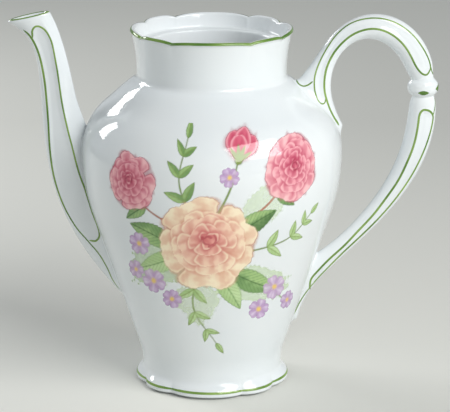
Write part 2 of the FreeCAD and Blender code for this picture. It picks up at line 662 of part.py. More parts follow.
def dash_bar(name, turn, forward, backward):
    """Add an oval bar through the knuckle along Y, turned about Z, with its reach each way."""
    oval = doc.addObject("Part::Ellipse", f"{name}_oval")
    oval.Placement = Placement(Vector(), Rotation(turn, 0, QUARTER_TURN))
    bind(oval, MajorRadius="Sizes.dash_length / 2", MinorRadius="Sizes.dash_width / 2",
         Placement__Base__x="Sizes.belly_radius + Sizes.knuckle_out",
         Placement__Base__z="Sizes.pot_height + Sizes.knuckle_up")
    bar = doc.addObject("Part::Extrusion", name)
    bar.Base = oval
    bar.DirMode = "Custom"
    bar.Dir = Rotation(turn, 0, 0).multVec(Vector(0, 1, 0))
    bar.Solid = True
    return bind(bar, LengthFwd=forward, LengthRev=backward)


dash_reach = "Sizes.knuckle_half_width * 2"
side_bar = dash_bar("side_dash_bar", 0, dash_reach, dash_reach)
outer_bar = dash_bar("outer_dash_bar", QUARTER_TURN, "0", dash_reach)
dash_bars = boolean("Fuse", "dash_bars", side_bar, outer_bar)
knuckle_skin = cut_chain("knuckle_skin", knuckle_ball("knuckle_grown", "Sizes.line_height"), [arms])
nodes.append(boolean("Common", "knuckle_dashes", knuckle_skin, dash_bars))

doc.recompute()
for thing in doc.Objects:
    if "Invalid" in thing.State or "Error" in thing.State:
        raise RuntimeError(f"{thing.Label} failed: {thing.State}")

os.makedirs("parts", exist_ok=True)
for node in nodes:
    if node.Shape.isNull() or not node.Shape.isValid() or not node.Shape.Solids:
        raise RuntimeError(f"{node.Label} has no valid solid")
    node.Shape.exportStep(os.path.join("parts", f"{node.Label}.step"))
    box = node.Shape.BoundBox
    print(f"{node.Label}: {len(node.Shape.Solids)} solid(s), {node.Shape.Volume:.1f} mm3, "
          f"x {box.XMin:.1f}..{box.XMax:.1f}, y {box.YMin:.1f}..{box.YMax:.1f}, "
          f"z {box.ZMin:.1f}..{box.ZMax:.1f}")
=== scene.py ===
"""Looks of a porcelain coffee pot: glazed forms, enamel lines and a painted flower spray.

Sizes are millimetres in the part's frame: the pot's axis is Z, the table is z = 0, the spout points
to -X and the handle to +X. A mesh is scaled to metres when it is finished.
"""
from __future__ import annotations

import logging
import math
from dataclasses import dataclass, field
from enum import Enum
from typing import Callable, Iterator, Protocol, Sequence

import bmesh
import bpy
import numpy as np
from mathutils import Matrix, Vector
from mathutils.bvhtree import BVHTree

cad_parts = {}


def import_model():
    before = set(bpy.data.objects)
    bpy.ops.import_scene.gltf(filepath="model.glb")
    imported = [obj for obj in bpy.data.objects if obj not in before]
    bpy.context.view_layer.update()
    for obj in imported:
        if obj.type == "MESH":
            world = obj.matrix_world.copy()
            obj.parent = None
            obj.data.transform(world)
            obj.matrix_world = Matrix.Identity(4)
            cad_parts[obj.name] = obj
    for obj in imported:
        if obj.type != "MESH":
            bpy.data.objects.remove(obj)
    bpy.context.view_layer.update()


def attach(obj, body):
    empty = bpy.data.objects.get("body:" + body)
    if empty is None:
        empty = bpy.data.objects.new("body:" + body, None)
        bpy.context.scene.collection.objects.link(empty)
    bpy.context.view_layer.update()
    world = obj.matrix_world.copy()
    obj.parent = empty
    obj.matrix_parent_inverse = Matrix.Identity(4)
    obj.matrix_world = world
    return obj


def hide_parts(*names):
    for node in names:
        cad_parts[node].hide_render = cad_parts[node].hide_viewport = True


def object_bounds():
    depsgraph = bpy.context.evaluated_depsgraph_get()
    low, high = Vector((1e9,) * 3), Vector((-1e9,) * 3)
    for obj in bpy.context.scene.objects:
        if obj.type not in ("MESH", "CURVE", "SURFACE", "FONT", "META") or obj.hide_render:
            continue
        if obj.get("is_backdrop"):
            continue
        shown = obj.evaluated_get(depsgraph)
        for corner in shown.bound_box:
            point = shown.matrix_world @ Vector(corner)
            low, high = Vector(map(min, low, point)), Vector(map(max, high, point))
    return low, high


log = logging.getLogger("coffee_pot")

METRES = 0.001
BODY = "root"
FULL_TURN = 360.0

# Points closer than this become one; the two ends of a closed line are given more room.
MERGE = 1e-5
MERGE_ENDS = 1e-4

# A length that counts as none, the reach of a slope's probe and a place well outside the pot.
TINY = 1e-9
PROBE = 0.1
FAR_OUT = 200.0

# Places along a spine between which a limb leaves the vessel and the spout ends, and how strongly
# the rows of a limb crowd towards its root.
ROOT_SEARCH = (-0.25, 0.45)
MOUTH_SEARCH = (0.5, 1.15)
ROW_CROWDING = 1.15

Point2 = tuple[float, float]
Range = tuple[float, float]
Triple = tuple[float, float, float]
Colour = tuple[float, float, float]
Line = tuple[Point2, ...]
Section = list[Point2]  # Radius and height of each point.
Array = np.ndarray
Mesh = bmesh.types.BMesh
Material = bpy.types.Material
Socket = bpy.types.NodeSocket
Tree = bpy.types.NodeTree
Node = bpy.types.Node
GridPoint = tuple[bmesh.types.BMVert, int, int]
Path = Sequence[tuple[Vector, Vector]]  # Points with the way out of the surface at each.
Window = tuple[slice, slice]


class Slot(Enum):
    """Material slots of the record."""

    PORCELAIN = "porcelain"
    ENAMEL = "green_enamel"


class Side(Enum):
    """Side of the pot that a painted piece is on, as the sign of its y."""

    FRONT = -1
    BACK = 1


def ease(part: float) -> float:
    """Return a smooth step from 0 to 1 with flat ends.

    Args:
        part: Place from 0 to 1; values outside are held at the ends.

    Returns:
        The eased place.
    """
    part = min(1.0, max(0.0, part))
    return part ** 3 * (10.0 - 15.0 * part + 6.0 * part ** 2)


def polar(middle: Sequence[float], reach: float, angle: float) -> Point2:
    """Return the point that lies a reach away from another, at an angle in radians."""
    return middle[0] + reach * math.cos(angle), middle[1] + reach * math.sin(angle)


def solve(gap: Callable[[float], float], low: float, high: float, rounds: int = 40) -> float:
    """Find where a function changes sign.

    Args:
        gap: Function that is negative at low and positive at high.
        low: Lower end of the search.
        high: Upper end of the search.
        rounds: How often the stretch is halved.

    Returns:
        The place of the change.
    """
    for _ in range(rounds):
        middle = (low + high) / 2.0
        if gap(middle) < 0.0:
            low = middle
        else:
            high = middle
    return (low + high) / 2.0


def smooth_path(points: Sequence[Point2], steps: int) -> list[Point2]:
    """Run a smooth line through points.

    Args:
        points: Points that the line passes.
        steps: Steps between two neighbouring points.

    Returns:
        Points along the line, ends included.
    """
    ends = [tuple(2.0 * a - b for a, b in zip(points[0], points[1])),
            tuple(2.0 * a - b for a, b in zip(points[-1], points[-2]))]
    around = [ends[0], *points, ends[1]]
    path: list[Point2] = []
    for before, here, there, after in zip(around, around[1:], around[2:], around[3:]):
        for step in range(steps):
            part = step / steps
            path.append(tuple(
                0.5 * (2.0 * b + (c - a) * part + (2.0 * a - 5.0 * b + 4.0 * c - d) * part ** 2
                       + (3.0 * b - a - 3.0 * c + d) * part ** 3)
                for a, b, c, d in zip(before, here, there, after)))
    return path + [tuple(points[-1])]


# Mesh helpers.

def grid_points(mesh: Mesh, columns: int, rows: int) -> Iterator[GridPoint]:
    """Make a grid in an empty mesh and go through its points.

    Args:
        mesh: The mesh, with the layers that its points need.
        columns: Count of faces across.
        rows: Count of faces along.

    Yields:
        Each point with its column and its row.
    """
    bmesh.ops.create_grid(mesh, x_segments=columns, y_segments=rows, size=0.5)
    for vertex in mesh.verts:
        yield vertex, round((vertex.co.x + 0.5) * columns), round((vertex.co.y + 0.5) * rows)


def wrapped_grid(columns: int, rows: int, surface: Callable[[int, int], Vector]) -> Mesh:
    """Make a grid and lay each of its points on a surface.

    Args:
        columns: Count of faces across.
        rows: Count of faces along.
        surface: Gives the place of the point in a column and a row.

    Returns:
        The grid, with edges that meet merged.
    """
    mesh = bmesh.new()
    for vertex, column, row in grid_points(mesh, columns, rows):
        vertex.co = surface(column, row)
    bmesh.ops.remove_doubles(mesh, verts=mesh.verts, dist=MERGE)
    return mesh


def spun(section: Section, steps: int) -> Mesh:
    """Spin a section of radius and height all round the Z axis.

    Args:
        section: The section.
        steps: Count of steps all round.

    Returns:
        The turned mesh.
    """
    mesh = bmesh.new()
    chain = [mesh.verts.new((radius, 0.0, height)) for radius, height in section]
    edges = [mesh.edges.new(pair) for pair in zip(chain, chain[1:])]
    bmesh.ops.spin(mesh, geom=[*chain, *edges], cent=(0.0, 0.0, 0.0), axis=(0.0, 0.0, 1.0),
                   angle=math.radians(FULL_TURN), steps=steps, use_merge=True, use_duplicate=False)
    bmesh.ops.remove_doubles(mesh, verts=mesh.verts, dist=MERGE)
    return mesh


def add_object(name: str, data: bpy.types.ID) -> bpy.types.Object:
    """Put an object in the scene.

    Args:
        name: Name of the object.
        data: Its mesh, lamp or camera.

    Returns:
        The object.
    """
    item = bpy.data.objects.new(name, data)
    bpy.context.scene.collection.objects.link(item)
    return item


def mesh_object(name: str, mesh: Mesh, material: Material) -> bpy.types.Object:
    """Put a mesh in the scene.

    Args:
        name: Name of the object.
        mesh: The mesh in metres, which is used up.
        material: Its finish.

    Returns:
        The object.
    """
    data = bpy.data.meshes.new(name)
    mesh.to_mesh(data)
    mesh.free()
    data.materials.append(material)
    return add_object(name, data)


def finish_piece(name: str, mesh: Mesh, material: Material, slot: Slot,
                 stands_for: Sequence[str] = (), closed: bool = True) -> bpy.types.Object:
    """Turn a mesh in millimetres into a finished piece on the pot.

    Args:
        name: Name of the piece.
        mesh: Its mesh, which is used up.
        material: Its finish.
        slot: The record's slot that the finish belongs to; not used.
        stands_for: Nodes of the part that the piece is shown for.
        closed: Whether the mesh is a closed shell whose normals are made to point outwards.

    Returns:
        The piece's object.
    """
    if closed:
        bmesh.ops.recalc_face_normals(mesh, faces=mesh.faces)
    bmesh.ops.scale(mesh, vec=(METRES,) * 3, verts=mesh.verts)
    for face in mesh.faces:
        face.smooth = True
    piece = mesh_object(name, mesh, material)
    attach(piece, BODY)
    if stands_for:
        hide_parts(*stands_for)
    log.info("%s: %d faces", name, len(piece.data.polygons))
    return piece


# Finishes.

class Nodes:
    """A node tree with short ways to add and join its nodes."""

    def __init__(self, tree: Tree) -> None:
        """Keep the tree."""
        self.tree = tree

    def add(self, kind: str, **settings: object) -> Node:
        """Add a node and set its properties.

        Args:
            kind: Blender's name of the node type.
            settings: Properties of the node by name.

        Returns:
            The node.
        """
        node = self.tree.nodes.new(kind)
        for name, value in settings.items():
            setattr(node, name, value)
        return node

    def join(self, source: Socket, target: Socket) -> None:
        """Link an output to an input."""
        self.tree.links.new(source, target)

    def noise(self, place: Socket, scale: float, detail: float) -> Socket:
        """Add a noise texture.

        Args:
            place: Where the noise is read.
            scale: Waves for each metre.
            detail: Finer layers of the noise.

        Returns:
            The noise's value.
        """
        node = self.add("ShaderNodeTexNoise")
        node.inputs["Scale"].default_value = scale
        node.inputs["Detail"].default_value = detail
        self.join(place, node.inputs["Vector"])
        return node.outputs["Fac"]

    def coordinate(self, axis: str, source: str = "Object") -> Socket:
        """Read one coordinate of the place.

        Args:
            axis: X, Y or Z.
            source: Blender's name of the coordinates that are read.

        Returns:
            The coordinate.
        """
        place = self.add("ShaderNodeTexCoord")
        split = self.add("ShaderNodeSeparateXYZ")
        self.join(place.outputs[source], split.inputs["Vector"])
        return split.outputs[axis]

    def scaled_sum(self, value: Socket, factor: float, more: Socket,
                   clamp: bool = False) -> Socket:
        """Add a scaled value to another.

        Args:
            value: The value that is scaled.
            factor: Its factor.
            more: The value that it is added to.
            clamp: Whether the sum is held between 0 and 1.

        Returns:
            The sum.
        """
        node = self.add("ShaderNodeMath", operation="MULTIPLY_ADD", use_clamp=clamp)
        self.join(value, node.inputs[0])
        node.inputs[1].default_value = factor
        self.join(more, node.inputs[2])
        return node.outputs["Value"]

    def spread(self, value: Socket, start: Range, end: Range = (0.0, 1.0)) -> Socket:
        """Map a value from one range to another, held at its ends.

        Args:
            value: The value to map.
            start: The range that it comes from.
            end: The range that it goes to.

        Returns:
            The mapped value.
        """
        node = self.add("ShaderNodeMapRange", clamp=True)
        for name, number in zip(("From Min", "From Max", "To Min", "To Max"), (*start, *end)):
            node.inputs[name].default_value = number
        self.join(value, node.inputs["Value"])
        return node.outputs["Result"]

    def blend(self, share: Socket, first: Socket | Colour,
              second: Socket | Colour) -> Socket:
        """Mix two colours.

        Args:
            share: Share of the second colour.
            first: First colour, as a socket or as red, green and blue.
            second: Second colour, in the same way.

        Returns:
            The mixed colour.
        """
        node = self.add("ShaderNodeMix", data_type="RGBA")
        self.join(share, node.inputs["Factor"])
        sockets = [socket for socket in node.inputs if socket.type == "RGBA"]
        for socket, colour in zip(sockets, (first, second)):
            if isinstance(colour, Socket):
                self.join(colour, socket)
            else:
                socket.default_value = (*colour, 1.0)
        return next(socket for socket in node.outputs if socket.type == "RGBA")


FinishParts = tuple[Material, Nodes, Node, Node]


class GroupSocket(Enum):
    """Kinds of group sockets."""

    VALUE = "NodeSocketFloat"
    VECTOR = "NodeSocketVector"


@dataclass(frozen=True)
class Glaze:
    """The glaze's slow ripple, its faint cloudiness and its gloss."""

    slow_scale: float = 34.0
    quick_scale: float = 210.0
    quick_share: float = 0.06
    quick_range: Range = (0.3, 0.7)
    cloud_scale: float = 22.0
    cloud_range: Range = (0.35, 0.68)
    roughness: Range = (0.045, 0.085)

    def make(self) -> Tree:
        """Make the node group.

        Returns:
            The group: Ripple is a height, Cloud runs from 0 to 1 and Gloss is a roughness.
        """
        tree = bpy.data.node_groups.new("glaze", "ShaderNodeTree")
        tree.interface.new_socket("Place", in_out="INPUT", socket_type=GroupSocket.VECTOR.value)
        for label in ("Ripple", "Cloud", "Gloss"):
            tree.interface.new_socket(label, in_out="OUTPUT", socket_type=GroupSocket.VALUE.value)
        nodes = Nodes(tree)
        place = nodes.add("NodeGroupInput").outputs["Place"]
        made = nodes.add("NodeGroupOutput")
        slow = nodes.noise(place, self.slow_scale, 1.0)
        quick = nodes.noise(place, self.quick_scale, 2.0)
        cloud = nodes.noise(place, self.cloud_scale, 3.0)
        nodes.join(nodes.scaled_sum(quick, self.quick_share, slow), made.inputs["Ripple"])
        nodes.join(nodes.spread(cloud, self.cloud_range), made.inputs["Cloud"])
        nodes.join(nodes.spread(quick, self.quick_range, self.roughness), made.inputs["Gloss"])
        return tree


@dataclass(frozen=True)
class Finish:
    """Base of the pot's glossy finishes."""

    name: str
    index: float = 1.52
    ripple_height: float = 0.00035

    def start(self, glaze: Tree) -> FinishParts:
        """Start a material whose gloss and ripple come from the glaze.

        Args:
            glaze: The glaze group.

        Returns:
            The material, its nodes' helper, its shader and the placed glaze group.
        """
        material = bpy.data.materials.new(self.name)
        material.use_nodes = True
        nodes = Nodes(material.node_tree)
        shader = material.node_tree.nodes["Principled BSDF"]
        shader.inputs["IOR"].default_value = self.index
        place = nodes.add("ShaderNodeTexCoord")
        group = nodes.add("ShaderNodeGroup", node_tree=glaze)
        nodes.join(place.outputs["Object"], group.inputs["Place"])
        bump = nodes.add("ShaderNodeBump")
        bump.inputs["Strength"].default_value = 1.0
        bump.inputs["Distance"].default_value = self.ripple_height
        nodes.join(group.outputs["Ripple"], bump.inputs["Height"])
        nodes.join(bump.outputs["Normal"], shader.inputs["Normal"])
        nodes.join(group.outputs["Gloss"], shader.inputs["Roughness"])
        return material, nodes, shader, group


@dataclass(frozen=True)
class Porcelain(Finish):
    """White glazed porcelain with a bare ring where the foot stands."""

    name: str = "porcelain_glaze"
    body: Colour = (0.80, 0.835, 0.85)
    cloud: Colour = (0.765, 0.81, 0.835)
    bare: Colour = (0.74, 0.71, 0.66)
    bare_roughness: float = 0.62
    bare_height: float = 0.00018

    def make(self, glaze: Tree) -> Material:
        """Make the material.

        Args:
            glaze: The glaze group.

        Returns:
            The material.
        """
        material, nodes, shader, group = self.start(glaze)
        bare = nodes.spread(nodes.coordinate("Z"), (self.bare_height, self.bare_height / 2.0))
        white = nodes.blend(group.outputs["Cloud"], self.body, self.cloud)
        nodes.join(nodes.blend(bare, white, self.bare), shader.inputs["Base Color"])
        rough = nodes.scaled_sum(bare, self.bare_roughness, group.outputs["Gloss"], clamp=True)
        nodes.join(rough, shader.inputs["Roughness"])
        return material


@dataclass(frozen=True)
class Enamel(Finish):
    """Green enamel, darker where the brush left more of it."""

    name: str = "green_enamel_line"
    thin: Colour = (0.29, 0.43, 0.12)
    full: Colour = (0.085, 0.19, 0.028)
    load: str = "load"

    def make(self, glaze: Tree) -> Material:
        """Make the material.

        Args:
            glaze: The glaze group.

        Returns:
            The material.
        """
        material, nodes, shader, _ = self.start(glaze)
        load = nodes.add("ShaderNodeAttribute", attribute_name=self.load)
        nodes.join(nodes.blend(load.outputs["Fac"], self.thin, self.full), shader.inputs["Base Color"])
        return material


@dataclass(frozen=True)
class Print(Finish):
    """Painted flowers under the gloss, clear where nothing is painted."""

    name: str = "flower_print"
    paint: str = "paint"

    def make(self, glaze: Tree) -> Material:
        """Make the material.

        Args:
            glaze: The glaze group.

        Returns:
            The material.
        """
        material, nodes, shader, _ = self.start(glaze)
        paint = nodes.add("ShaderNodeAttribute", attribute_name=self.paint)
        nodes.join(paint.outputs["Color"], shader.inputs["Base Color"])
        nodes.join(paint.outputs["Alpha"], shader.inputs["Alpha"])
        return material


# Vessel.

@dataclass
class Vessel:
    """The turned body with its lobed foot and rim and the ledge for a lid."""

    height: float = 180.8
    wall: float = 3.2
    belly_radius: float = 64.8
    belly_arc: float = 97.0
    shoulder_height: float = 37.5
    shoulder_angle: float = 39.4
    waist_radius: float = 35.1
    waist_height: float = 9.5
    waist_arc: float = 32.5
    neck_radius: float = 37.1
    neck_height: float = 24.3
    neck_straight: float = 3.5
    neck_fillet: float = 3.5
    slope_full: float = 0.42
    rim_spread: float = 3.1
    rim_notch_depth: float = 0.9
    rim_notch_drop: float = 1.35
    rim_cusp: float = 3.2
    lip_wall: float = 2.6
    ledge_depth: float = 7.3
    ledge_thickness: float = 10.0
    ledge_reach: float = 2.9
    ledge_round: float = 1.1
    lip_inside: Line = ((1.15, 3.4), (0.68, 1.2))
    lip_foot_inset: float = 0.45
    lip_foot_round: float = 1.1
    foot_spread: float = 3.5
    foot_notch_depth: float = 2.2
    foot_cusp: float = 2.5
    foot_round: float = 2.0
    foot_turn: float = -4.6
    foot_rest_width: float = 7.6
    foot_edge_share: float = 0.7
    foot_rest_chamfer: float = 0.6
    foot_edge_reach: float = 2.4
    foot_edge: Line = ((0.0, 0.0), (0.4, 0.15), (1.1, 0.7), (1.7, 0.9))
    foot_recess_depth: float = 4.0
    foot_recess_lean: float = 2.0
    foot_recess_round: float = 1.5
    floor_bend: Line = ((2.5, 0.4), (6.0, 0.0))
    lute_sink: float = 0.05
    pour_height: float = 92.0
    pour_half_height: float = 15.0
    pour_half_width: float = 5.5
    wide_lobe: float = 58.0
    lobe_pair: float = 90.0
    steps: int = 360

    def __post_init__(self) -> None:
        """Work out the centres and ends of the section's arcs."""
        self.neck_z = self.height - self.neck_height
        self.flare_z = self.neck_z + self.neck_straight
        self.belly_z = self.neck_z - self.shoulder_height
        self.slope = math.radians(self.shoulder_angle)
        rise = (self.shoulder_height * math.cos(self.slope)
                - (self.belly_radius - self.neck_radius) * math.sin(self.slope))
        self.shoulder_arc = rise / (1.0 - math.sin(self.slope))
        self.shoulder_centre = Vector((self.belly_radius - self.shoulder_arc, self.belly_z))
        self.belly_centre = Vector((self.belly_radius - self.belly_arc, self.belly_z))
        self.waist_centre = Vector((self.waist_radius + self.waist_arc, self.waist_height))
        between = self.waist_centre - self.belly_centre
        self.lean = (math.atan2(-between.y, between.x)
                     - math.acos((self.belly_arc + self.waist_arc) / between.length))
        self.ledge_z = self.height - self.ledge_depth

    def arc(self, centre: Vector, radius: float, start: float, end: float, count: int) -> Section:
        """Return points on an arc of the section.

        Args:
            centre: Centre of the arc.
            radius: Radius of the arc.
            start: First angle in degrees.
            end: Last angle in degrees.
            count: Count of steps.

        Returns:
            Its points.
        """
        angles = [math.radians(start + (end - start) * step / count) for step in range(count + 1)]
        return [polar(centre, radius, angle) for angle in angles]

    def side(self, inset: float) -> Section:
        """Return the section from the waist up to the end of the shoulder's slope.

        Args:
            inset: How far the line lies inside the outer wall.

        Returns:
            Its points.
        """
        lean = math.degrees(self.lean)
        up = 90.0 - self.shoulder_angle
        waist = self.arc(self.waist_centre, self.waist_arc + inset, 180.0, 180.0 - lean, 10)
        belly = self.arc(self.belly_centre, self.belly_arc - inset, -lean, 0.0, 16)
        shoulder = self.arc(self.shoulder_centre, self.shoulder_arc - inset, 0.0, up, 20)
        count = 24
        cone = [tuple(a + (b - a) * step / count for a, b in zip(waist[-1], belly[0]))
                for step in range(1, count)]
        return waist + cone + belly + shoulder[1:]

    def radius(self, height: float) -> float:
        """Return the outer radius at a height.

        Args:
            height: Height from the waist to the neck.

        Returns:
            The radius.
        """
        if height > self.neck_z:
            return self.neck_radius
        if height > self.belly_z + self.shoulder_arc * math.cos(self.slope):
            return self.neck_radius + (self.neck_z - height) / math.tan(self.slope)
        if height > self.belly_z:
            reach = self.shoulder_arc ** 2 - (height - self.belly_z) ** 2
            return self.shoulder_centre.x + math.sqrt(reach)
        if height > self.belly_z - self.belly_arc * math.sin(self.lean):
            reach = self.belly_arc ** 2 - (height - self.belly_z) ** 2
            return self.belly_centre.x + math.sqrt(reach)
        cone_z = self.waist_height + self.waist_arc * math.sin(self.lean)
        if height > cone_z:
            cone = self.waist_centre.x - self.waist_arc * math.cos(self.lean)
            return cone + (height - cone_z) * math.tan(self.lean)
        reach = max(0.0, self.waist_arc ** 2 - (height - self.waist_height) ** 2)
        return self.waist_centre.x - math.sqrt(reach)

    def beside(self, point: Vector, away: Vector, reach: float) -> Vector:
        """Return a point of the outside that lies a little way from another along the surface.

        Args:
            point: The point to start from.
            away: Direction to go, which is laid on the surface.
            reach: How far to go.

        Returns:
            The point, a hair inside the surface.
        """
        turn = math.atan2(point.y, point.x)
        slope = (self.radius(point.z + PROBE) - self.radius(point.z - PROBE)) / (2.0 * PROBE)
        normal = Vector((math.cos(turn), math.sin(turn), -slope)).normalized()
        target = point + (away - normal * away.dot(normal)).normalized() * reach
        scale = (self.radius(target.z) - self.lute_sink) / math.hypot(target.x, target.y)
        return Vector((target.x * scale, target.y * scale, target.z))

    def neck_fillet_arc(self) -> Section:
        """Return the soft corner between the shoulder and the neck.

        Returns:
            Its points.
        """
        half = (math.radians(90.0) - self.slope) / 2.0
        centre = Vector((self.neck_radius + self.neck_fillet,
                         self.neck_z + self.neck_fillet * math.tan(half)))
        return self.arc(centre, self.neck_fillet, 270.0 - self.shoulder_angle, 180.0, 8)

    def shoulder_slope(self) -> Section:
        """Return the slope from the shoulder's arc to the soft corner, a little full towards the neck.

        Returns:
            Its points.
        """
        start, end = self.side(0.0)[-1], self.neck_fillet_arc()[0]
        count = 14
        parts = [step / count for step in range(1, count)]
        fulls = [self.slope_full * part ** 2 * (1.0 - part) * 27.0 / 4.0 for part in parts]
        return [(start[0] + (end[0] - start[0]) * part + full * math.sin(self.slope),
                 start[1] + (end[1] - start[1]) * part + full * math.cos(self.slope))
                for part, full in zip(parts, fulls)]

    def flare_radius(self, height: float) -> float:
        """Return the outer radius of the flared neck at a height, on the crown of a lobe."""
        part = max(0.0, height - self.flare_z) / (self.height - self.flare_z)
        return self.neck_radius + self.rim_spread * part ** 2

    def foot_radius(self, height: float) -> float:
        """Return the outer radius of the foot at a height, on the crown of a lobe."""
        part = (self.waist_height - height) / (self.waist_height - self.foot_round)
        return self.waist_radius + self.foot_spread * ease(part)

    def notch(self, turn: float, cusp: float) -> float:
        """Work out how far into a notch between a wide and a narrow lobe a turn is.

        Args:
            turn: Turn about the axis in degrees.
            cusp: How narrow the notches are, as a power.

        Returns:
            The share, from 0 on a crown to 1 in a notch.
        """
        half_pair, half_wide = self.lobe_pair / 2.0, self.wide_lobe / 2.0
        away = abs((turn + half_pair) % self.lobe_pair - half_pair)
        across = away / half_wide if away < half_wide else (half_pair - away) / (half_pair - half_wide)
        return across ** cusp

    def lobed(self, radius: float, height: float, turn: float) -> Point2:
        """Press the lobes into a point of the turned section.

        Args:
            radius: Radius of the point.
            height: Height of the point.
            turn: Turn of the point about the axis in degrees.

        Returns:
            Its new radius and height.
        """
        if height > self.flare_z:
            notch = self.notch(turn, self.rim_cusp)
            part = (height - self.flare_z) / (self.height - self.flare_z)
            return (radius - self.rim_notch_depth * part ** 3 * notch,
                    height - self.rim_notch_drop * part ** 6 * notch)
        recess = self.waist_radius + self.foot_spread - self.foot_rest_width
        if height < self.waist_height and radius > recess:
            notch = self.notch(turn - self.foot_turn, self.foot_cusp)
            part = ease((self.waist_height - height) / (self.waist_height - self.foot_round))
            edge = ease((radius - recess) / (self.foot_rest_width * self.foot_edge_share))
            return radius - self.foot_notch_depth * part * edge * notch, height
        return radius, height

    def underside(self) -> Section:
        """Return the section of the foot, from the middle of the underside up to the waist.

        Returns:
            Its points.
        """
        foot = self.waist_radius + self.foot_spread
        recess = foot - self.foot_rest_width
        top = recess - self.foot_recess_depth / 2.0 - self.foot_recess_lean
        bend = Vector((top, self.foot_recess_depth - self.foot_recess_round))
        points = [(0.0, self.foot_recess_depth), (top, self.foot_recess_depth)]
        points += self.arc(bend, self.foot_recess_round, 80.0, 20.0, 4)
        points += [(recess, self.foot_rest_chamfer), (recess + self.foot_rest_chamfer, 0.0)]
        ring = foot - self.foot_round - self.foot_edge_reach
        points += [(ring + out, up) for out, up in self.foot_edge]
        edge = self.arc(Vector((foot - self.foot_round, 0.0)), self.foot_round, -80.0, 0.0, 6)
        squash = (self.foot_round - self.foot_edge[-1][1]) / self.foot_round
        points += [(radius, self.foot_round + height * squash) for radius, height in edge]
        count = 14
        lift = (self.waist_height - self.foot_round) / count
        heights = [self.foot_round + lift * step for step in range(1, count)]
        return points + [(self.foot_radius(height), height) for height in heights]

    def neck_outside(self) -> Section:
        """Return the section of the flared neck and of the crown of its lip.

        Returns:
            Its points.
        """
        lip = self.lip_wall / 2.0
        count = 12
        rise = self.height - lip - self.flare_z
        heights = [self.flare_z + rise * step / count for step in range(count + 1)]
        crown = Vector((self.flare_radius(self.height) - lip, self.height - lip))
        return ([(self.flare_radius(height), height) for height in heights]
                + self.arc(crown, lip, 8.0, 172.0, 10))

    def neck_inside(self) -> Section:
        """Return the section inside the neck: the lip's wall, the ledge and the throat under it.

        Returns:
            Its points.
        """
        seat = self.flare_radius(self.ledge_z) - self.lip_wall
        bore = self.neck_radius - self.wall
        under_ledge = self.ledge_z - self.ledge_thickness
        bend = self.ledge_round
        edge = bore - self.ledge_reach + bend
        points = [(seat + out, self.ledge_z + up) for out, up in self.lip_inside]
        points += self.arc(Vector((seat - self.lip_foot_inset, self.ledge_z + self.lip_foot_round)),
                           self.lip_foot_round, -20.0, -90.0, 4)
        points += self.arc(Vector((edge, self.ledge_z - bend)), bend, 90.0, 180.0, 6)
        points += self.arc(Vector((edge, under_ledge + bend)), bend, 180.0, 270.0, 6)
        radius, height = self.side(self.wall)[-1]
        corner = height + (radius - self.neck_radius + self.wall) * math.tan(self.slope)
        return points + [(bore, under_ledge - 1.0), (bore, corner)]

    def section(self) -> Section:
        """Return the closed half section, from the middle of the underside to that of the floor.

        Returns:
            Its points.
        """
        outside = self.side(0.0) + self.shoulder_slope() + self.neck_fillet_arc() + self.neck_outside()
        inside = self.neck_inside() + self.side(self.wall)[::-1]
        radius, height = inside.pop()
        floor = [(radius - inset, height + up) for inset, up in self.floor_bend]
        return self.underside() + outside + inside + floor + [(0.0, height)]

    def open_pour_hole(self, mesh: Mesh) -> None:
        """Open the wall behind the spout and join the two edges of the hole.

        Args:
            mesh: The turned vessel.
        """
        def in_hole(place: Vector) -> bool:
            """Return whether a place of the wall lies in the oval hole."""
            part = (place.y / self.pour_half_width, (place.z - self.pour_height) / self.pour_half_height)
            return place.x < -self.neck_radius and math.hypot(*part) < 1.0

        inside = [face for face in mesh.faces if in_hole(face.calc_center_median())]
        bmesh.ops.delete(mesh, geom=inside, context="FACES")
        edges = [edge for edge in mesh.edges if edge.is_boundary]
        bmesh.ops.bridge_loops(mesh, edges=edges)

    def build(self, material: Material) -> bpy.types.Object:
        """Build the vessel.

        Args:
            material: The porcelain.

        Returns:
            The vessel's piece.
        """
        mesh = spun(self.section(), self.steps)
        for vertex in mesh.verts:
            radius = math.hypot(vertex.co.x, vertex.co.y)
            turn = math.atan2(vertex.co.y, vertex.co.x)
            radius, height = self.lobed(radius, vertex.co.z, math.degrees(turn))
            vertex.co = (radius * math.cos(turn), radius * math.sin(turn), height)
        self.open_pour_hole(mesh)
        return finish_piece("vessel", mesh, material, Slot.PORCELAIN, ["pot_body"])


# Spout and handle arms.

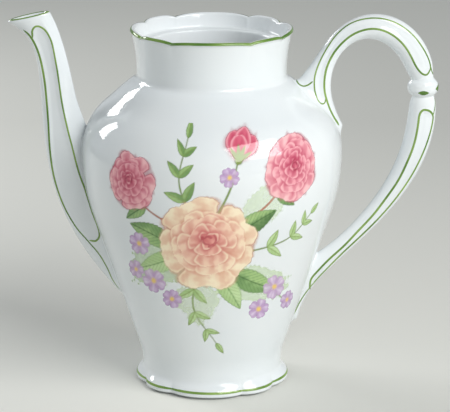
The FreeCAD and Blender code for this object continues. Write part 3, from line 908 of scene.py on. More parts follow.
@dataclass
class Limb:
    """A spout or an arm: a curved spine in the plane y = 0 with oval sections across it."""

    spine: Line
    halves: Triple
    flares: Range
    aspects: Triple
    swell: float = 0.0
    pinch: float = 0.0
    pinch_place: float = 0.968
    pinch_reach: float = 0.025

    def taper(self, place: float, root: float, slim: float, tip: float) -> float:
        """Return a size that runs from the root's over the slim part's to the tip's.

        Args:
            place: Place along the spine.
            root: Size at the root.
            slim: Size of the slim part.
            tip: Size at the tip.

        Returns:
            The size.
        """
        from_root = (1.0 - max(0.0, place)) ** self.flares[0] if place < 1.0 else 0.0
        to_tip = place ** self.flares[1] if place > 0.0 else 0.0
        return slim + (root - slim) * from_root + (tip - slim) * to_tip

    def half_width(self, place: float) -> float:
        """Return the half width, swollen and pinched in towards the tip.

        Args:
            place: Place along the spine.

        Returns:
            The half width.
        """
        held = min(1.0, max(0.0, place))
        most = 0.75 ** 3 * 0.25
        width = self.taper(place, *self.halves) + self.swell * held ** 3 * (1.0 - held) / most
        away = (place - self.pinch_place) / self.pinch_reach
        return width * (1.0 - self.pinch * math.exp(-away ** 2))

    def frame(self, place: float) -> tuple[Vector, Vector]:
        """Return the spine's point and the direction across it.

        Args:
            place: Place along the spine; before the root it runs on straight.

        Returns:
            The point and the direction.
        """
        last = len(self.spine) - 1
        points = [Vector((x, 0.0, z)) for x, z in self.spine]
        before = min(0.0, place)
        place -= before
        spot = Vector()
        along = Vector()
        for index, point in enumerate(points):
            weight = math.comb(last, index) * place ** index * (1.0 - place) ** (last - index)
            spot += point * weight
        for index, (point, following) in enumerate(zip(points, points[1:])):
            weight = math.comb(last - 1, index) * place ** index * (1.0 - place) ** (last - 1 - index)
            along += (following - point) * (weight * last)
        spot += along * before
        along.normalize()
        return spot, Vector((along.z, 0.0, -along.x))

    def at(self, place: float, angle: float, inset: float = 0.0) -> Vector:
        """Return a point of the surface.

        Args:
            place: Place along the spine.
            angle: Angle round the section in radians; 0 is the right side going up the spine.
            inset: How far the surface lies inside the outer one.

        Returns:
            The point.
        """
        spot, aside = self.frame(place)
        width = self.half_width(place)
        depth = width * self.taper(place, *self.aspects)
        return (spot + aside * ((width - inset) * math.cos(angle))
                + Vector((0.0, (depth - inset) * math.sin(angle), 0.0)))

    def flat(self, place: float, across: float) -> Point2:
        """Return x and z of a place along the spine and across it, from -1 to 1."""
        spot, aside = self.frame(place)
        return tuple((spot + aside * (self.half_width(place) * across)).xz)

    def leaves_body(self, angle: float, vessel: Vessel, inset: float = 0.0) -> float:
        """Find where a line of the surface comes out of the vessel.

        Args:
            angle: Angle of the line round the section in radians.
            vessel: The vessel.
            inset: How far the line lies inside the outer surface.

        Returns:
            The place along the spine.
        """
        def gap(place: float) -> float:
            """Return how far outside the vessel a place of the line is."""
            point = self.at(place, angle, inset)
            return math.hypot(point.x, point.y) - vessel.radius(point.z)

        return solve(gap, *ROOT_SEARCH)


class Luting:
    """The soft joint of a limb with the vessel, worked out for each column of the limb's mesh."""

    def __init__(self, limb: Limb, vessel: Vessel, columns: int, fillet: float) -> None:
        """Work out where each column's fillet starts, bends and ends.

        Args:
            limb: The limb.
            vessel: The vessel that it is luted to.
            columns: Count of the columns round the limb.
            fillet: Reach of the fillet along the limb and along the vessel.
        """
        self.angles = [math.radians(FULL_TURN) * column / columns for column in range(columns)]
        self.onsets: list[float] = []
        self.bends: list[tuple[Vector, Vector, Vector]] = []
        for angle in self.angles:
            start = limb.leaves_body(angle, vessel)
            seam = limb.at(start, angle)
            step = 0.01
            pace = (limb.at(start + step, angle) - seam).length / step
            onset = start + fillet / pace
            spot, _ = limb.frame(start)
            self.onsets.append(onset)
            self.bends.append((vessel.beside(seam, seam - spot, fillet), seam, limb.at(onset, angle)))

    def curve(self, column: int, part: float) -> Vector:
        """Return a point of a column's fillet, from part 0 on the vessel to part 1 on the limb."""
        foot, seam, top = self.bends[column]
        return foot * (1.0 - part) ** 2 + seam * (2.0 * part * (1.0 - part)) + top * part ** 2


def stretch_distance(x: Array, z: Array, start: Point2, end: Point2) -> Array:
    """Work out how far points are from a straight stretch.

    Args:
        x: Places of the points along X.
        z: Heights of the points.
        start: Start of the stretch.
        end: End of the stretch.

    Returns:
        The distance of each point.
    """
    run, rise = end[0] - start[0], end[1] - start[1]
    length = max(run ** 2 + rise ** 2, TINY)
    part = np.clip(((x - start[0]) * run + (z - start[1]) * rise) / length, 0.0, 1.0)
    return np.hypot(x - start[0] - run * part, z - start[1] - rise * part)


def press_panel(mesh: Mesh, outline: Sequence[Point2], deep: float, soft: float) -> None:
    """Press a fluted panel into the front and the back of a limb.

    Args:
        mesh: The limb's mesh.
        outline: Closed outline of the panel in x and z.
        deep: Depth of the panel.
        soft: Width of its rounded edge.
    """
    places = np.array([vertex.co for vertex in mesh.verts])
    x, z = places[:, 0], places[:, 2]
    inside = np.zeros(x.shape, dtype=bool)
    nearest = np.full(x.shape, np.inf)
    corners = np.array(outline)
    for (ax, az), (bx, bz) in zip(corners, np.roll(corners, -1, axis=0)):
        between = (az > z) != (bz > z)
        rise = np.where(abs(bz - az) > TINY, bz - az, TINY)
        inside ^= between & (x < ax + (bx - ax) * (z - az) / rise)
        nearest = np.minimum(nearest, stretch_distance(x, z, (ax, az), (bx, bz)))
    part = np.clip(nearest / soft, 0.0, 1.0)
    depth = np.where(inside, deep * part ** 2 * (3.0 - 2.0 * part), 0.0)
    for vertex, press in zip(mesh.verts, depth):
        vertex.co.y -= math.copysign(min(press, abs(vertex.co.y)), vertex.co.y)


class Ground:
    """The surface of a limb and of the vessel that it is luted to, for lines to be painted on."""

    def __init__(self, mesh: Mesh, vessel: Vessel) -> None:
        """Keep the vessel and a search tree of the limb, with its faces turned outwards.

        Args:
            mesh: The limb's mesh.
            vessel: The vessel.
        """
        bmesh.ops.recalc_face_normals(mesh, faces=mesh.faces)
        mesh.normal_update()
        self.vessel = vessel
        self.tree = BVHTree.FromBMesh(mesh)

    def hit(self, x: float, z: float, side: Side) -> tuple[Vector, Vector]:
        """Return the outermost point over a place of the plane y = 0 and the way out there.

        Args:
            x: Place along X.
            z: Height.
            side: Front or back of the pot.

        Returns:
            The point and the outward direction.
        """
        ahead = Vector((0.0, -side.value, 0.0))
        spot, normal, _, _ = self.tree.ray_cast(Vector((x, side.value * FAR_OUT, z)), ahead)
        radius = self.vessel.radius(z)
        if abs(x) < radius:
            depth = math.sqrt(radius ** 2 - x ** 2)
            if spot is None or abs(spot.y) < depth:
                out = Vector((x, side.value * depth, 0.0))
                return out + Vector((0.0, 0.0, z)), out.normalized()
        if spot is None:
            spot, normal, _, _ = self.tree.find_nearest(Vector((x, side.value, z)))
        return spot, normal

    def lay(self, flat: Sequence[Point2], side: Side) -> Path:
        """Lay a line of x and z on the front or the back.

        Args:
            flat: Points of the line.
            side: Front or back of the pot.

        Returns:
            The path.
        """
        hits = [self.hit(x, z, side) for x, z in flat]
        reach = 4
        path: list[tuple[Vector, Vector]] = []
        for row, (spot, _) in enumerate(hits):
            near = hits[max(0, row - reach):row + reach + 1]
            path.append((spot, sum((normal for _, normal in near), Vector()).normalized()))
        return path

    def nearest(self, place: Vector) -> Vector:
        """Return the point of the surface that is nearest to a place.

        Args:
            place: The place.

        Returns:
            The point, on the limb or on the vessel.
        """
        spot, _, _, away = self.tree.find_nearest(place)
        scale = self.vessel.radius(place.z) / math.hypot(place.x, place.y)
        on_body = Vector((place.x * scale, place.y * scale, place.z))
        if scale > 1.0 or (on_body - place).length < away:
            return on_body
        return spot


@dataclass
class Ribbon:
    """A painted line: a narrow raised strip along a path on a surface."""

    width: float = 0.95
    end_width: float | None = None
    height: float = 0.07
    lift: float = 0.02
    across: int = 4
    fade: float = 3.0
    load: float = 0.30
    crown: float | None = None
    end_share: float = 0.25
    middle_load: float = 0.30
    wave_load: float = 0.24
    slow_rate: float = 0.11
    quick_rate: float = 0.37
    quick_share: float = 0.6

    def paint(self, name: str, path: Path, material: Material, stands_for: Sequence[str], seed: float,
              closed: bool = False, ground: Ground | None = None) -> bpy.types.Object:
        """Paint the line, with the brush's load in a float layer.

        Args:
            name: Name of the piece.
            path: The line's path.
            material: The enamel.
            stands_for: Nodes of the part that the line is shown for.
            seed: Shifts the brush's load along the line.
            closed: Whether the line runs into its own start.
            ground: The surface that the line is pressed on.

        Returns:
            The line's piece.
        """
        count = len(path) - 1
        runs = [0.0]
        for (here, _), (there, _) in zip(path, path[1:]):
            runs.append(runs[-1] + (there - here).length)
        last_width = self.width if self.end_width is None else self.end_width

        def along(row: int) -> Vector:
            """Return the direction of the path at a row."""
            ends = (-2, 1) if closed and row in (0, count) else (max(0, row - 1), min(count, row + 1))
            return (path[ends[1]][0] - path[ends[0]][0]).normalized()

        def surface(column: int, row: int) -> Vector:
            """Return a point of the strip.

            Args:
                column: Its column across the line.
                row: Its row along the path.

            Returns:
                The point.
            """
            spot, normal = path[row]
            share = 2.0 * column / self.across - 1.0
            to_end = min(runs[row], runs[-1] - runs[row])
            end = 1.0 if closed else ease(self.end_share + to_end / self.fade)
            width = self.width + (last_width - self.width) * ease(runs[row] / runs[-1])
            place = spot + normal.cross(along(row)).normalized() * (share * end * width / 2.0)
            if ground:
                place = ground.nearest(place)
            if self.crown:
                place -= normal * (self.crown - math.sqrt(self.crown ** 2 - (share * width / 2.0) ** 2))
            return place + normal * (self.lift + self.height * (1.0 - share ** 2))

        mesh = bmesh.new()
        layer = mesh.verts.layers.float.new(Enamel.load)
        for vertex, column, row in grid_points(mesh, self.across, count):
            run = runs[row]
            wave = math.sin(run * self.slow_rate + seed)
            wave += self.quick_share * math.sin(run * self.quick_rate + 2.3 * seed)
            middle = 1.0 - abs(2.0 * column / self.across - 1.0) ** 3
            load = self.load + self.middle_load * middle + self.wave_load * wave
            vertex[layer] = min(1.0, max(0.0, load))
            vertex.co = surface(column, row)
        if closed:
            bmesh.ops.remove_doubles(mesh, verts=mesh.verts, dist=MERGE_ENDS)
        mesh.faces.ensure_lookup_table()
        mesh.normal_update()
        first = mesh.faces[0]
        nearest = min(path, key=lambda pair: (pair[0] - first.calc_center_median()).length)
        if first.normal.dot(nearest[1]) < 0.0:
            bmesh.ops.reverse_faces(mesh, faces=mesh.faces)
        return finish_piece(name, mesh, material, Slot.ENAMEL, stands_for, closed=False)


@dataclass
class SpoutForm(Limb):
    """The spout's form: an oval limb with a ridge along its keel and flattened flanks."""

    keel: Line = ()
    crease: Line = ()
    keel_out: Line = (
        (0.05, 0.2), (0.25, 0.6), (0.45, 0.8), (0.60, 1.2), (0.70, 1.6), (0.80, 1.3), (0.88, 0.9),
        (1.0, 0.25))
    back_out: Line = (
        (0.45, 0.0), (0.60, -0.5), (0.70, 0.1), (0.80, 0.4), (0.88, 0.7), (1.0, 0.7))
    facets_in: Range = (0.08, 0.17)
    facets_out: Range = (0.95, 0.10)
    beak: float = 0.4
    beak_in: Range = (0.86, 0.12)
    keel_firm: float = 0.3
    panel_firm: float = 1.05
    back_firm: float = 0.55

    def rise(self, place: float, across: float) -> float:
        """Return how far the surface stands out at a place, as a share of the half depth.

        Args:
            place: Place along the spine.
            across: Place across the spine, from -1 to 1.

        Returns:
            The share: that of an oval, pressed towards flat facets between the enamel lines.
        """
        keel = float(np.interp(place, *zip(*self.keel)))
        crease = float(np.interp(place, *zip(*self.crease)))
        corners = (-1.0, keel, crease, 1.0)
        flat = float(np.interp(across, corners, [math.sqrt(1.0 - corner ** 2) for corner in corners]))
        firm = self.keel_firm
        if across > keel:
            firm = self.back_firm if across > crease else self.panel_firm
        fade = ease((place - self.facets_in[0]) / self.facets_in[1])
        fade *= ease((self.facets_out[0] - place) / self.facets_out[1])
        oval = math.sqrt(max(0.0, 1.0 - across ** 2))
        return oval + (flat - oval) * firm * fade

    def at(self, place: float, angle: float, inset: float = 0.0) -> Vector:
        """Return a point of the surface.

        Args:
            place: Place along the spine.
            angle: Angle round the section in radians; 0 is the right side going up the spine.
            inset: How far the surface lies inside the outer one; the inside is a plain oval.

        Returns:
            The point.
        """
        if inset:
            return super().at(place, angle, inset)
        spot, aside = self.frame(place)
        width = self.half_width(place)
        depth = width * self.taper(place, *self.aspects)
        across = math.cos(angle)
        to_keel = (1.0 - across) / 2.0
        ridge = float(np.interp(place, *zip(*self.keel_out))) * to_keel ** 3
        ridge += self.beak * ease((place - self.beak_in[0]) / self.beak_in[1]) * to_keel ** 8
        back = float(np.interp(place, *zip(*self.back_out))) * (1.0 - to_keel) ** 2
        out = math.copysign(depth * self.rise(place, across), math.sin(angle))
        return spot + aside * (width * across - ridge + back) + Vector((0.0, out, 0.0))


@dataclass
class Spout:
    """The tall spout with its slanted mouth, its fluted panels and their enamel lines."""

    vessel: Vessel
    wall: float = 2.0
    mouth: Point2 = (-90.3, 186.4)
    mouth_tilt: float = 12.6
    fillet: float = 2.2
    panel_deep: float = 0.35
    panel_soft: float = 2.6
    columns: int = 144
    rows: int = 150
    fillet_rows: int = 10
    lip_rows: int = 8
    line_part: float = 0.44
    keel: Line = (
        (0.0, -0.95), (0.03, -0.89), (0.062, -0.78), (0.105, -0.71), (0.152, -0.76), (0.20, -0.86),
        (0.27, -0.93), (0.36, -0.93), (0.45, -0.86), (0.545, -0.79), (0.66, -0.82), (0.75, -0.87),
        (0.83, -0.88), (0.89, -0.87), (0.93, -0.93))
    panel: Line = (
        (0.150, -0.72), (0.138, -0.53), (0.154, -0.32), (0.22, -0.15), (0.285, -0.01), (0.35, 0.05),
        (0.43, 0.13), (0.51, 0.14), (0.62, 0.12), (0.75, 0.23), (0.823, 0.37), (0.853, 0.38),
        (0.881, 0.30), (0.903, 0.10), (0.912, -0.18), (0.902, -0.52), (0.872, -0.82))
    crease_ends: tuple[int, int] = (2, 12)

    def __post_init__(self) -> None:
        """Set up the spout's form, whose facets meet along the lines."""
        self.limb = SpoutForm(
            ((-32.8, 63.5), (-67.7, 93.7), (-83.8, 130.1), (-65.0, 167.3), (-93.4, 191.4)),
            (22.4, 1.0, 10.0), (1.24, 5.6), (0.60, 0.80, 0.54), keel=self.keel,
            crease=self.panel[slice(*self.crease_ends)])

    def mouth_up(self) -> Vector:
        """Return the direction out of the mouth."""
        tilt = math.radians(self.mouth_tilt)
        return Vector((-math.sin(tilt), 0.0, math.cos(tilt)))

    def ends(self, angle: float, inset: float) -> float:
        """Find where a line of the surface reaches the mouth.

        Args:
            angle: Angle of the line round the section in radians.
            inset: How far the line lies inside the outer surface.

        Returns:
            The place along the spine.
        """
        up = self.mouth_up()
        middle = Vector((self.mouth[0], 0.0, self.mouth[1])) - up * (self.wall / 2.0)
        return solve(lambda place: (self.limb.at(place, angle, inset) - middle).dot(up), *MOUTH_SEARCH)

    def outline(self) -> list[Point2]:
        """Return the outline of the fluted panel, up its inner line and down the keel.

        Returns:
            Its points in x and z.
        """
        low, high = self.panel[0][0], self.panel[-1][0]
        keel = [point for point in smooth_path(self.keel, 6) if low < point[0] < high]
        return [self.limb.flat(*point) for point in smooth_path(self.panel, 6) + keel[::-1]]

    def lip(self, angle: float, part: float) -> Vector:
        """Return a point of the rounded lip.

        Args:
            angle: Angle round the mouth in radians.
            part: Place from 0 on the outside to 1 on the inside.

        Returns:
            The point.
        """
        outer = self.limb.at(self.ends(angle, 0.0), angle)
        inner = self.limb.at(self.ends(angle, self.wall), angle, self.wall)
        turn = math.pi * part
        middle = (outer + inner) / 2.0
        rise = self.wall / 2.0 * math.sin(turn)
        return middle + (outer - middle) * math.cos(turn) + self.mouth_up() * rise

    def surface(self) -> Callable[[int, int], Vector]:
        """Return the tube's surface: up its outside, over the lip and down its inside.

        Returns:
            A function of a column round the tube and a row along it.
        """
        luting = Luting(self.limb, self.vessel, self.columns, self.fillet)
        stops = [self.ends(angle, 0.0) for angle in luting.angles]
        inner_starts = [self.limb.leaves_body(angle, self.vessel, self.wall) for angle in luting.angles]
        inner_stops = [self.ends(angle, self.wall) for angle in luting.angles]
        turn_row = self.rows + self.lip_rows

        def place(column: int, row: int) -> Vector:
            """Return a point of the surface.

            Args:
                column: Its column round the limb.
                row: Its row along the limb.

            Returns:
                The point.
            """
            column %= self.columns
            angle = luting.angles[column]
            if row <= self.fillet_rows:
                return luting.curve(column, row / self.fillet_rows)
            if row <= self.rows:
                part = ((row - self.fillet_rows) / (self.rows - self.fillet_rows)) ** ROW_CROWDING
                onset = luting.onsets[column]
                return self.limb.at(onset + (stops[column] - onset) * part, angle)
            if row < turn_row:
                return self.lip(angle, (row - self.rows) / self.lip_rows)
            if row <= turn_row + self.rows:
                part = (row - turn_row) / self.rows
                reach = inner_stops[column] + (inner_starts[column] - inner_stops[column]) * part
                return self.limb.at(reach, angle, self.wall)
            return luting.curve(column, 0.0)

        return place

    def mouth_line(self) -> Path:
        """Return the path of the line on the lip.

        Returns:
            The path.
        """
        path: list[tuple[Vector, Vector]] = []
        count = 2 * self.columns
        for step in range(count + 1):
            angle = math.radians(FULL_TURN) * (step % count) / count
            spot = self.lip(angle, self.line_part)
            middle = (self.lip(angle, 0.0) + self.lip(angle, 1.0)) / 2.0
            path.append((spot, (spot - middle).normalized()))
        return path

    def build(self, porcelain: Material, enamel: Material) -> None:
        """Build the spout and paint its lines.

        Args:
            porcelain: The spout's finish.
            enamel: The lines' finish.
        """
        mesh = wrapped_grid(self.columns, 2 * self.rows + self.lip_rows + 1, self.surface())
        press_panel(mesh, self.outline(), self.panel_deep, self.panel_soft)
        ground = Ground(mesh, self.vessel)
        finish_piece("spout_tube", mesh, porcelain, Slot.PORCELAIN, ["spout"])
        # The keel line's heavier load makes its enamel darker: painted shade for the crease along the
        # keel.
        lines = {"keel": (self.keel, Ribbon(width=0.8, end_width=1.1, load=0.5)),
                 "panel": (self.panel, Ribbon(width=1.0))}
        for seed, side in enumerate(Side):
            tag = side.name.lower()
            for name, (stroke, ribbon) in lines.items():
                flat = [self.limb.flat(*point) for point in smooth_path(stroke, 14)]
                ribbon.paint(f"spout_{name}_paint_{tag}", ground.lay(flat, side), enamel,
                             [f"spout_{name}_line_{tag}"], 1.7 * seed + len(name), ground=ground)
        lip_line = Ribbon(width=2.0, height=0.08, lift=0.06, across=10, load=0.42)
        lip_line.paint("spout_mouth_paint", self.mouth_line(), enamel, ["spout_mouth_line"], 0.4,
                       closed=True, ground=ground)


@dataclass
class Handle:
    """The looped handle: two arms that meet in a knuckle, with fluted panels and enamel lines."""

    vessel: Vessel
    upper: Limb = field(default_factory=lambda: Limb(
        ((46.3, 136.4), (57.4, 175.1), (64.0, 188.3), (99.8, 190.7), (104.7, 150.8)),
        (19.3, 0.6, 6.05), (10.2, 0.41), (0.45, 0.80, 0.80), 1.6, 0.12))
    lower: Limb = field(default_factory=lambda: Limb(
        ((34.9, 47.2), (61.0, 60.0), (101.9, 100.4), (104.4, 120.5), (104.7, 150.8)),
        (18.4, 3.85, 5.8), (12.0, 3.5), (0.45, 0.80, 0.80), 2.2, 0.14))
    knuckle: Point2 = (104.35, 150.8)
    knuckle_half_width: float = 7.65
    knuckle_half_depth: float = 6.4
    knuckle_half_height: float = 4.6
    knuckle_neck: float = 5.3
    knuckle_curve: Range = (2.6, 1.3)
    knuckle_sink: Range = (1.0, 1.2)
    knuckle_steps: int = 72
    upper_fillet: float = 4.0
    lower_fillet: float = 2.4
    panel_deep: float = 0.55
    panel_soft: float = 2.4
    columns: int = 80
    rows: int = 170
    fillet_rows: int = 10
    upper_line: Line = (
        (0.085, 0.65), (0.070, 0.61), (0.062, 0.51), (0.064, 0.37), (0.076, 0.22), (0.109, -0.05),
        (0.155, -0.34), (0.215, -0.53), (0.291, -0.66), (0.37, -0.78), (0.45, -0.83), (0.55, -0.79),
        (0.65, -0.77), (0.76, -0.74), (0.85, -0.75), (0.93, -0.80), (0.950, -0.64), (0.957, -0.33),
        (0.945, 0.02), (0.915, 0.22), (0.87, 0.24), (0.80, 0.17), (0.69, 0.07), (0.60, 0.02),
        (0.54, 0.05), (0.46, 0.11), (0.36, 0.19), (0.28, 0.22), (0.21, 0.29), (0.156, 0.43),
        (0.11, 0.57), (0.075, 0.70), (0.04, 0.80), (0.0, 0.90))
    lower_line: Line = (
        (0.092, 0.97), (0.099, 0.75), (0.12, 0.42), (0.155, 0.28), (0.21, 0.10), (0.27, 0.05),
        (0.34, -0.09), (0.41, -0.11), (0.49, -0.18), (0.57, -0.17), (0.655, -0.22), (0.74, -0.21),
        (0.84, -0.24), (0.885, -0.23), (0.906, -0.05), (0.909, 0.22), (0.902, 0.54), (0.882, 0.78),
        (0.846, 0.79), (0.78, 0.72), (0.70, 0.65), (0.615, 0.62), (0.53, 0.61), (0.455, 0.60),
        (0.385, 0.58), (0.316, 0.55), (0.255, 0.58), (0.18, 0.74), (0.12, 0.82), (0.07, 0.81),
        (0.0, 0.79))
    upper_loop: int = 31
    lower_loop: int = 28
    upper_tick: Line = ((0.935, -0.79), (0.952, -0.86), (0.966, -0.99))
    lower_tick: Line = ((0.955, 0.99), (0.925, 0.92), (0.885, 0.79))
    root_arc: Line = (
        (41.6, 154.6), (43.0, 153.0), (45.3, 152.2), (47.6, 152.9), (49.8, 154.6))
    side_dash: Triple = (2.0, 6.0, 2.3)
    outer_dash: Triple = (0.3, 10.5, 3.8)
    dash_lift: float = 0.08
    dash_height: float = 0.06

    def arm(self, limb: Limb, loop: Line, fillet: float) -> Mesh:
        """Build one arm from the vessel into the knuckle.

        Args:
            limb: The arm's form.
            loop: The part of its enamel line that goes round the panel.
            fillet: Reach of its soft joint with the vessel.

        Returns:
            The arm's mesh.
        """
        luting = Luting(limb, self.vessel, self.columns, fillet)
        tip, _ = limb.frame(1.0)
        root = sum((foot for foot, _, _ in luting.bends), Vector()) / self.columns

        def place(column: int, row: int) -> Vector:
            """Return a point of the surface.

            Args:
                column: Its column round the limb.
                row: Its row along the limb.

            Returns:
                The point.
            """
            column %= self.columns
            if row == 0:
                return root
            if row > self.rows:
                return tip
            if row <= self.fillet_rows:
                return luting.curve(column, (row - 1) / self.fillet_rows)
            part = ((row - 1 - self.fillet_rows) / (self.rows - 1 - self.fillet_rows)) ** ROW_CROWDING
            onset = luting.onsets[column]
            return limb.at(onset + (1.0 - onset) * part, luting.angles[column])

        mesh = wrapped_grid(self.columns, self.rows + 1, place)
        outline = [limb.flat(*point) for point in smooth_path(loop, 6)]
        press_panel(mesh, outline, self.panel_deep, self.panel_soft)
        return mesh

    def bead(self) -> Section:
        """Return the knuckle's section.

        Returns:
            Its points, measured from the knuckle's middle.
        """
        steps = 28
        flat, steep = self.knuckle_curve
        bulge = self.knuckle_half_width - self.knuckle_neck
        crown: list[Point2] = []
        for step in range(steps + 1):
            share = 2.0 * step / steps - 1.0
            radius = self.knuckle_neck + bulge * (1.0 - abs(share) ** flat) ** steep
            crown.append((radius, self.knuckle_half_height * share))
        inner = self.knuckle_neck - self.knuckle_sink[0]
        end = self.knuckle_half_height + self.knuckle_sink[1]
        return [(0.0, -end), (inner, -end), *crown, (inner, end), (0.0, end)]

    def dash(self, turn: float, drop: float, length: float, width: float) -> Mesh:
        """Build one lens-shaped dash on the knuckle.

        Args:
            turn: Turn about the knuckle's axis in degrees.
            drop: How far the dash lies below the knuckle's middle.
            length: Length of the dash.
            width: Width of the dash.

        Returns:
            The dash's mesh.
        """
        squash = self.knuckle_half_depth / self.knuckle_half_width
        mesh = bmesh.new()
        layer = mesh.verts.layers.float.new(Enamel.load)
        bmesh.ops.create_grid(mesh, x_segments=24, y_segments=8, size=0.5)
        section = [point for point in self.bead() if point[0] > 0.0]
        heights = [height for _, height in section]
        radii = [radius for radius, _ in section]
        for vertex in mesh.verts:
            along, across = 2.0 * vertex.co.x, 2.0 * vertex.co.y
            height = -drop + across * (1.0 - along ** 2) * width / 2.0
            radius = float(np.interp(height, heights, radii)) + self.dash_lift
            radius += self.dash_height * (1.0 - across ** 2)
            angle = math.radians(turn) + along * length / 2.0 / self.knuckle_half_width
            vertex[layer] = 0.75 + 0.25 * (1.0 - along ** 2)
            vertex.co = (self.knuckle[0] + radius * math.cos(angle), radius * squash * math.sin(angle),
                         self.knuckle[1] + height)
        return mesh

    def build(self, porcelain: Material, enamel: Material) -> None:
        """Build the handle and paint its lines.

        Args:
            porcelain: The handle's finish.
            enamel: The lines' finish.
        """
        arms = {
            "upper": (self.upper, self.upper_fillet, self.upper_line, self.upper_loop,
                      Ribbon(width=0.75, end_width=1.15), self.upper_tick),
            "lower": (self.lower, self.lower_fillet, self.lower_line, self.lower_loop,
                      Ribbon(width=1.15, end_width=1.05), self.lower_tick)}
        stands_for = {"upper": ["handle"], "lower": []}
        fine = Ribbon(width=0.75, fade=1.2)
        for name, (limb, fillet, line, loop, ribbon, tick) in arms.items():
            mesh = self.arm(limb, line[:loop], fillet)
            ground = Ground(mesh, self.vessel)
            finish_piece(f"handle_{name}_arm", mesh, porcelain, Slot.PORCELAIN, stands_for[name])
            flat = [limb.flat(*point) for point in smooth_path(line, 12)]
            strokes = [[limb.flat(*point) for point in smooth_path(tick, 8)]]
            if name == "upper":
                strokes.append(smooth_path(self.root_arc, 8))
            for seed, side in enumerate(Side):
                tag = side.name.lower()
                ribbon.paint(f"handle_{name}_paint_{tag}", ground.lay(flat, side), enamel,
                             [f"handle_{name}_line_{tag}"], 2.1 * seed + len(line), ground=ground)
                for index, stroke in enumerate(strokes):
                    fine.paint(f"handle_{name}_tick_{tag}_{index + 1}", ground.lay(stroke, side), enamel,
                               [], 1.3 * seed + index, ground=ground)
        bead = spun(self.bead(), self.knuckle_steps)
        squash = self.knuckle_half_depth / self.knuckle_half_width
        bmesh.ops.scale(bead, vec=(1.0, squash, 1.0), verts=bead.verts)
        bmesh.ops.translate(bead, vec=(self.knuckle[0], 0.0, self.knuckle[1]), verts=bead.verts)
        finish_piece("handle_knuckle", bead, porcelain, Slot.PORCELAIN)
        dashes = self.dash(-90.0, *self.side_dash)
        for more in (self.dash(90.0, *self.side_dash), self.dash(0.0, *self.outer_dash)):
            scratch = bpy.data.meshes.new("dash")
            more.to_mesh(scratch)
            more.free()
            dashes.from_mesh(scratch)
            bpy.data.meshes.remove(scratch)
        finish_piece("knuckle_dash_paint", dashes, enamel, Slot.ENAMEL, ["knuckle_dashes"], closed=False)


# Enamel rings on the vessel.

@dataclass
class Rings:
    """The enamel lines round the rim and the foot."""

    vessel: Vessel
    foot_height: float = 3.7
    rim_angle: float = 34.0
    steps: int = 720

    def path(self, radius: float, height: float, lean: float) -> Path:
        """Return a path round the vessel that follows its lobes.

        Args:
            radius: Radius on the crown of a lobe.
            height: Height on the crown of a lobe.
            lean: Angle of the way out of the surface above the level, in radians.

        Returns:
            The path.
        """
        out, up = math.cos(lean), math.sin(lean)
        path: list[tuple[Vector, Vector]] = []
        for step in range(self.steps + 1):
            turn = FULL_TURN * (step % self.steps) / self.steps
            angle = math.radians(turn)
            away, lifted = self.vessel.lobed(radius, height, turn)
            path.append((Vector((away * math.cos(angle), away * math.sin(angle), lifted)),
                         Vector((out * math.cos(angle), out * math.sin(angle), up))))
        return path

    def build(self, enamel: Material) -> None:
        """Paint both rings.

        Args:
            enamel: The lines' finish.
        """
        lip = self.vessel.lip_wall / 2.0
        lean = math.radians(self.rim_angle)
        crown = (self.vessel.flare_radius(self.vessel.height) - lip, self.vessel.height - lip)
        rim = self.path(*polar(crown, lip, lean), lean)
        below, radius, above = (self.vessel.foot_radius(self.foot_height + probe)
                                for probe in (-PROBE, 0.0, PROBE))
        foot = self.path(radius, self.foot_height, math.atan2(below - above, 2.0 * PROBE))
        rim_line = Ribbon(width=1.5, across=8, load=0.42, crown=lip)
        rim_line.paint("rim_paint", rim, enamel, ["rim_line"], 0.9, closed=True)
        foot_line = Ribbon(width=1.25, load=0.14)
        foot_line.paint("foot_paint", foot, enamel, ["foot_line"], 2.8, closed=True)


# Painted flowers.

def step_soft(value: Array, soft: float) -> Array:
    """Return a smooth step from 0 to 1 over a stretch on both sides of zero.

    Args:
        value: Signed distances.
        soft: Half of the stretch.

    Returns:
        The steps.
    """
    part = np.clip(value / (2.0 * soft) + 0.5, 0.0, 1.0)
    return part ** 2 * (3.0 - 2.0 * part)


def tint(first: Array | Colour, second: Colour, share: Array) -> Array:
    """Mix two colours by a share at each place.

    Args:
        first: Colour at share 0.
        second: Colour at share 1.
        share: The shares.

    Returns:
        The mixed colours.
    """
    share = np.clip(share, 0.0, 1.0)[..., None]
    return np.array(first) * (1.0 - share) + np.array(second) * share


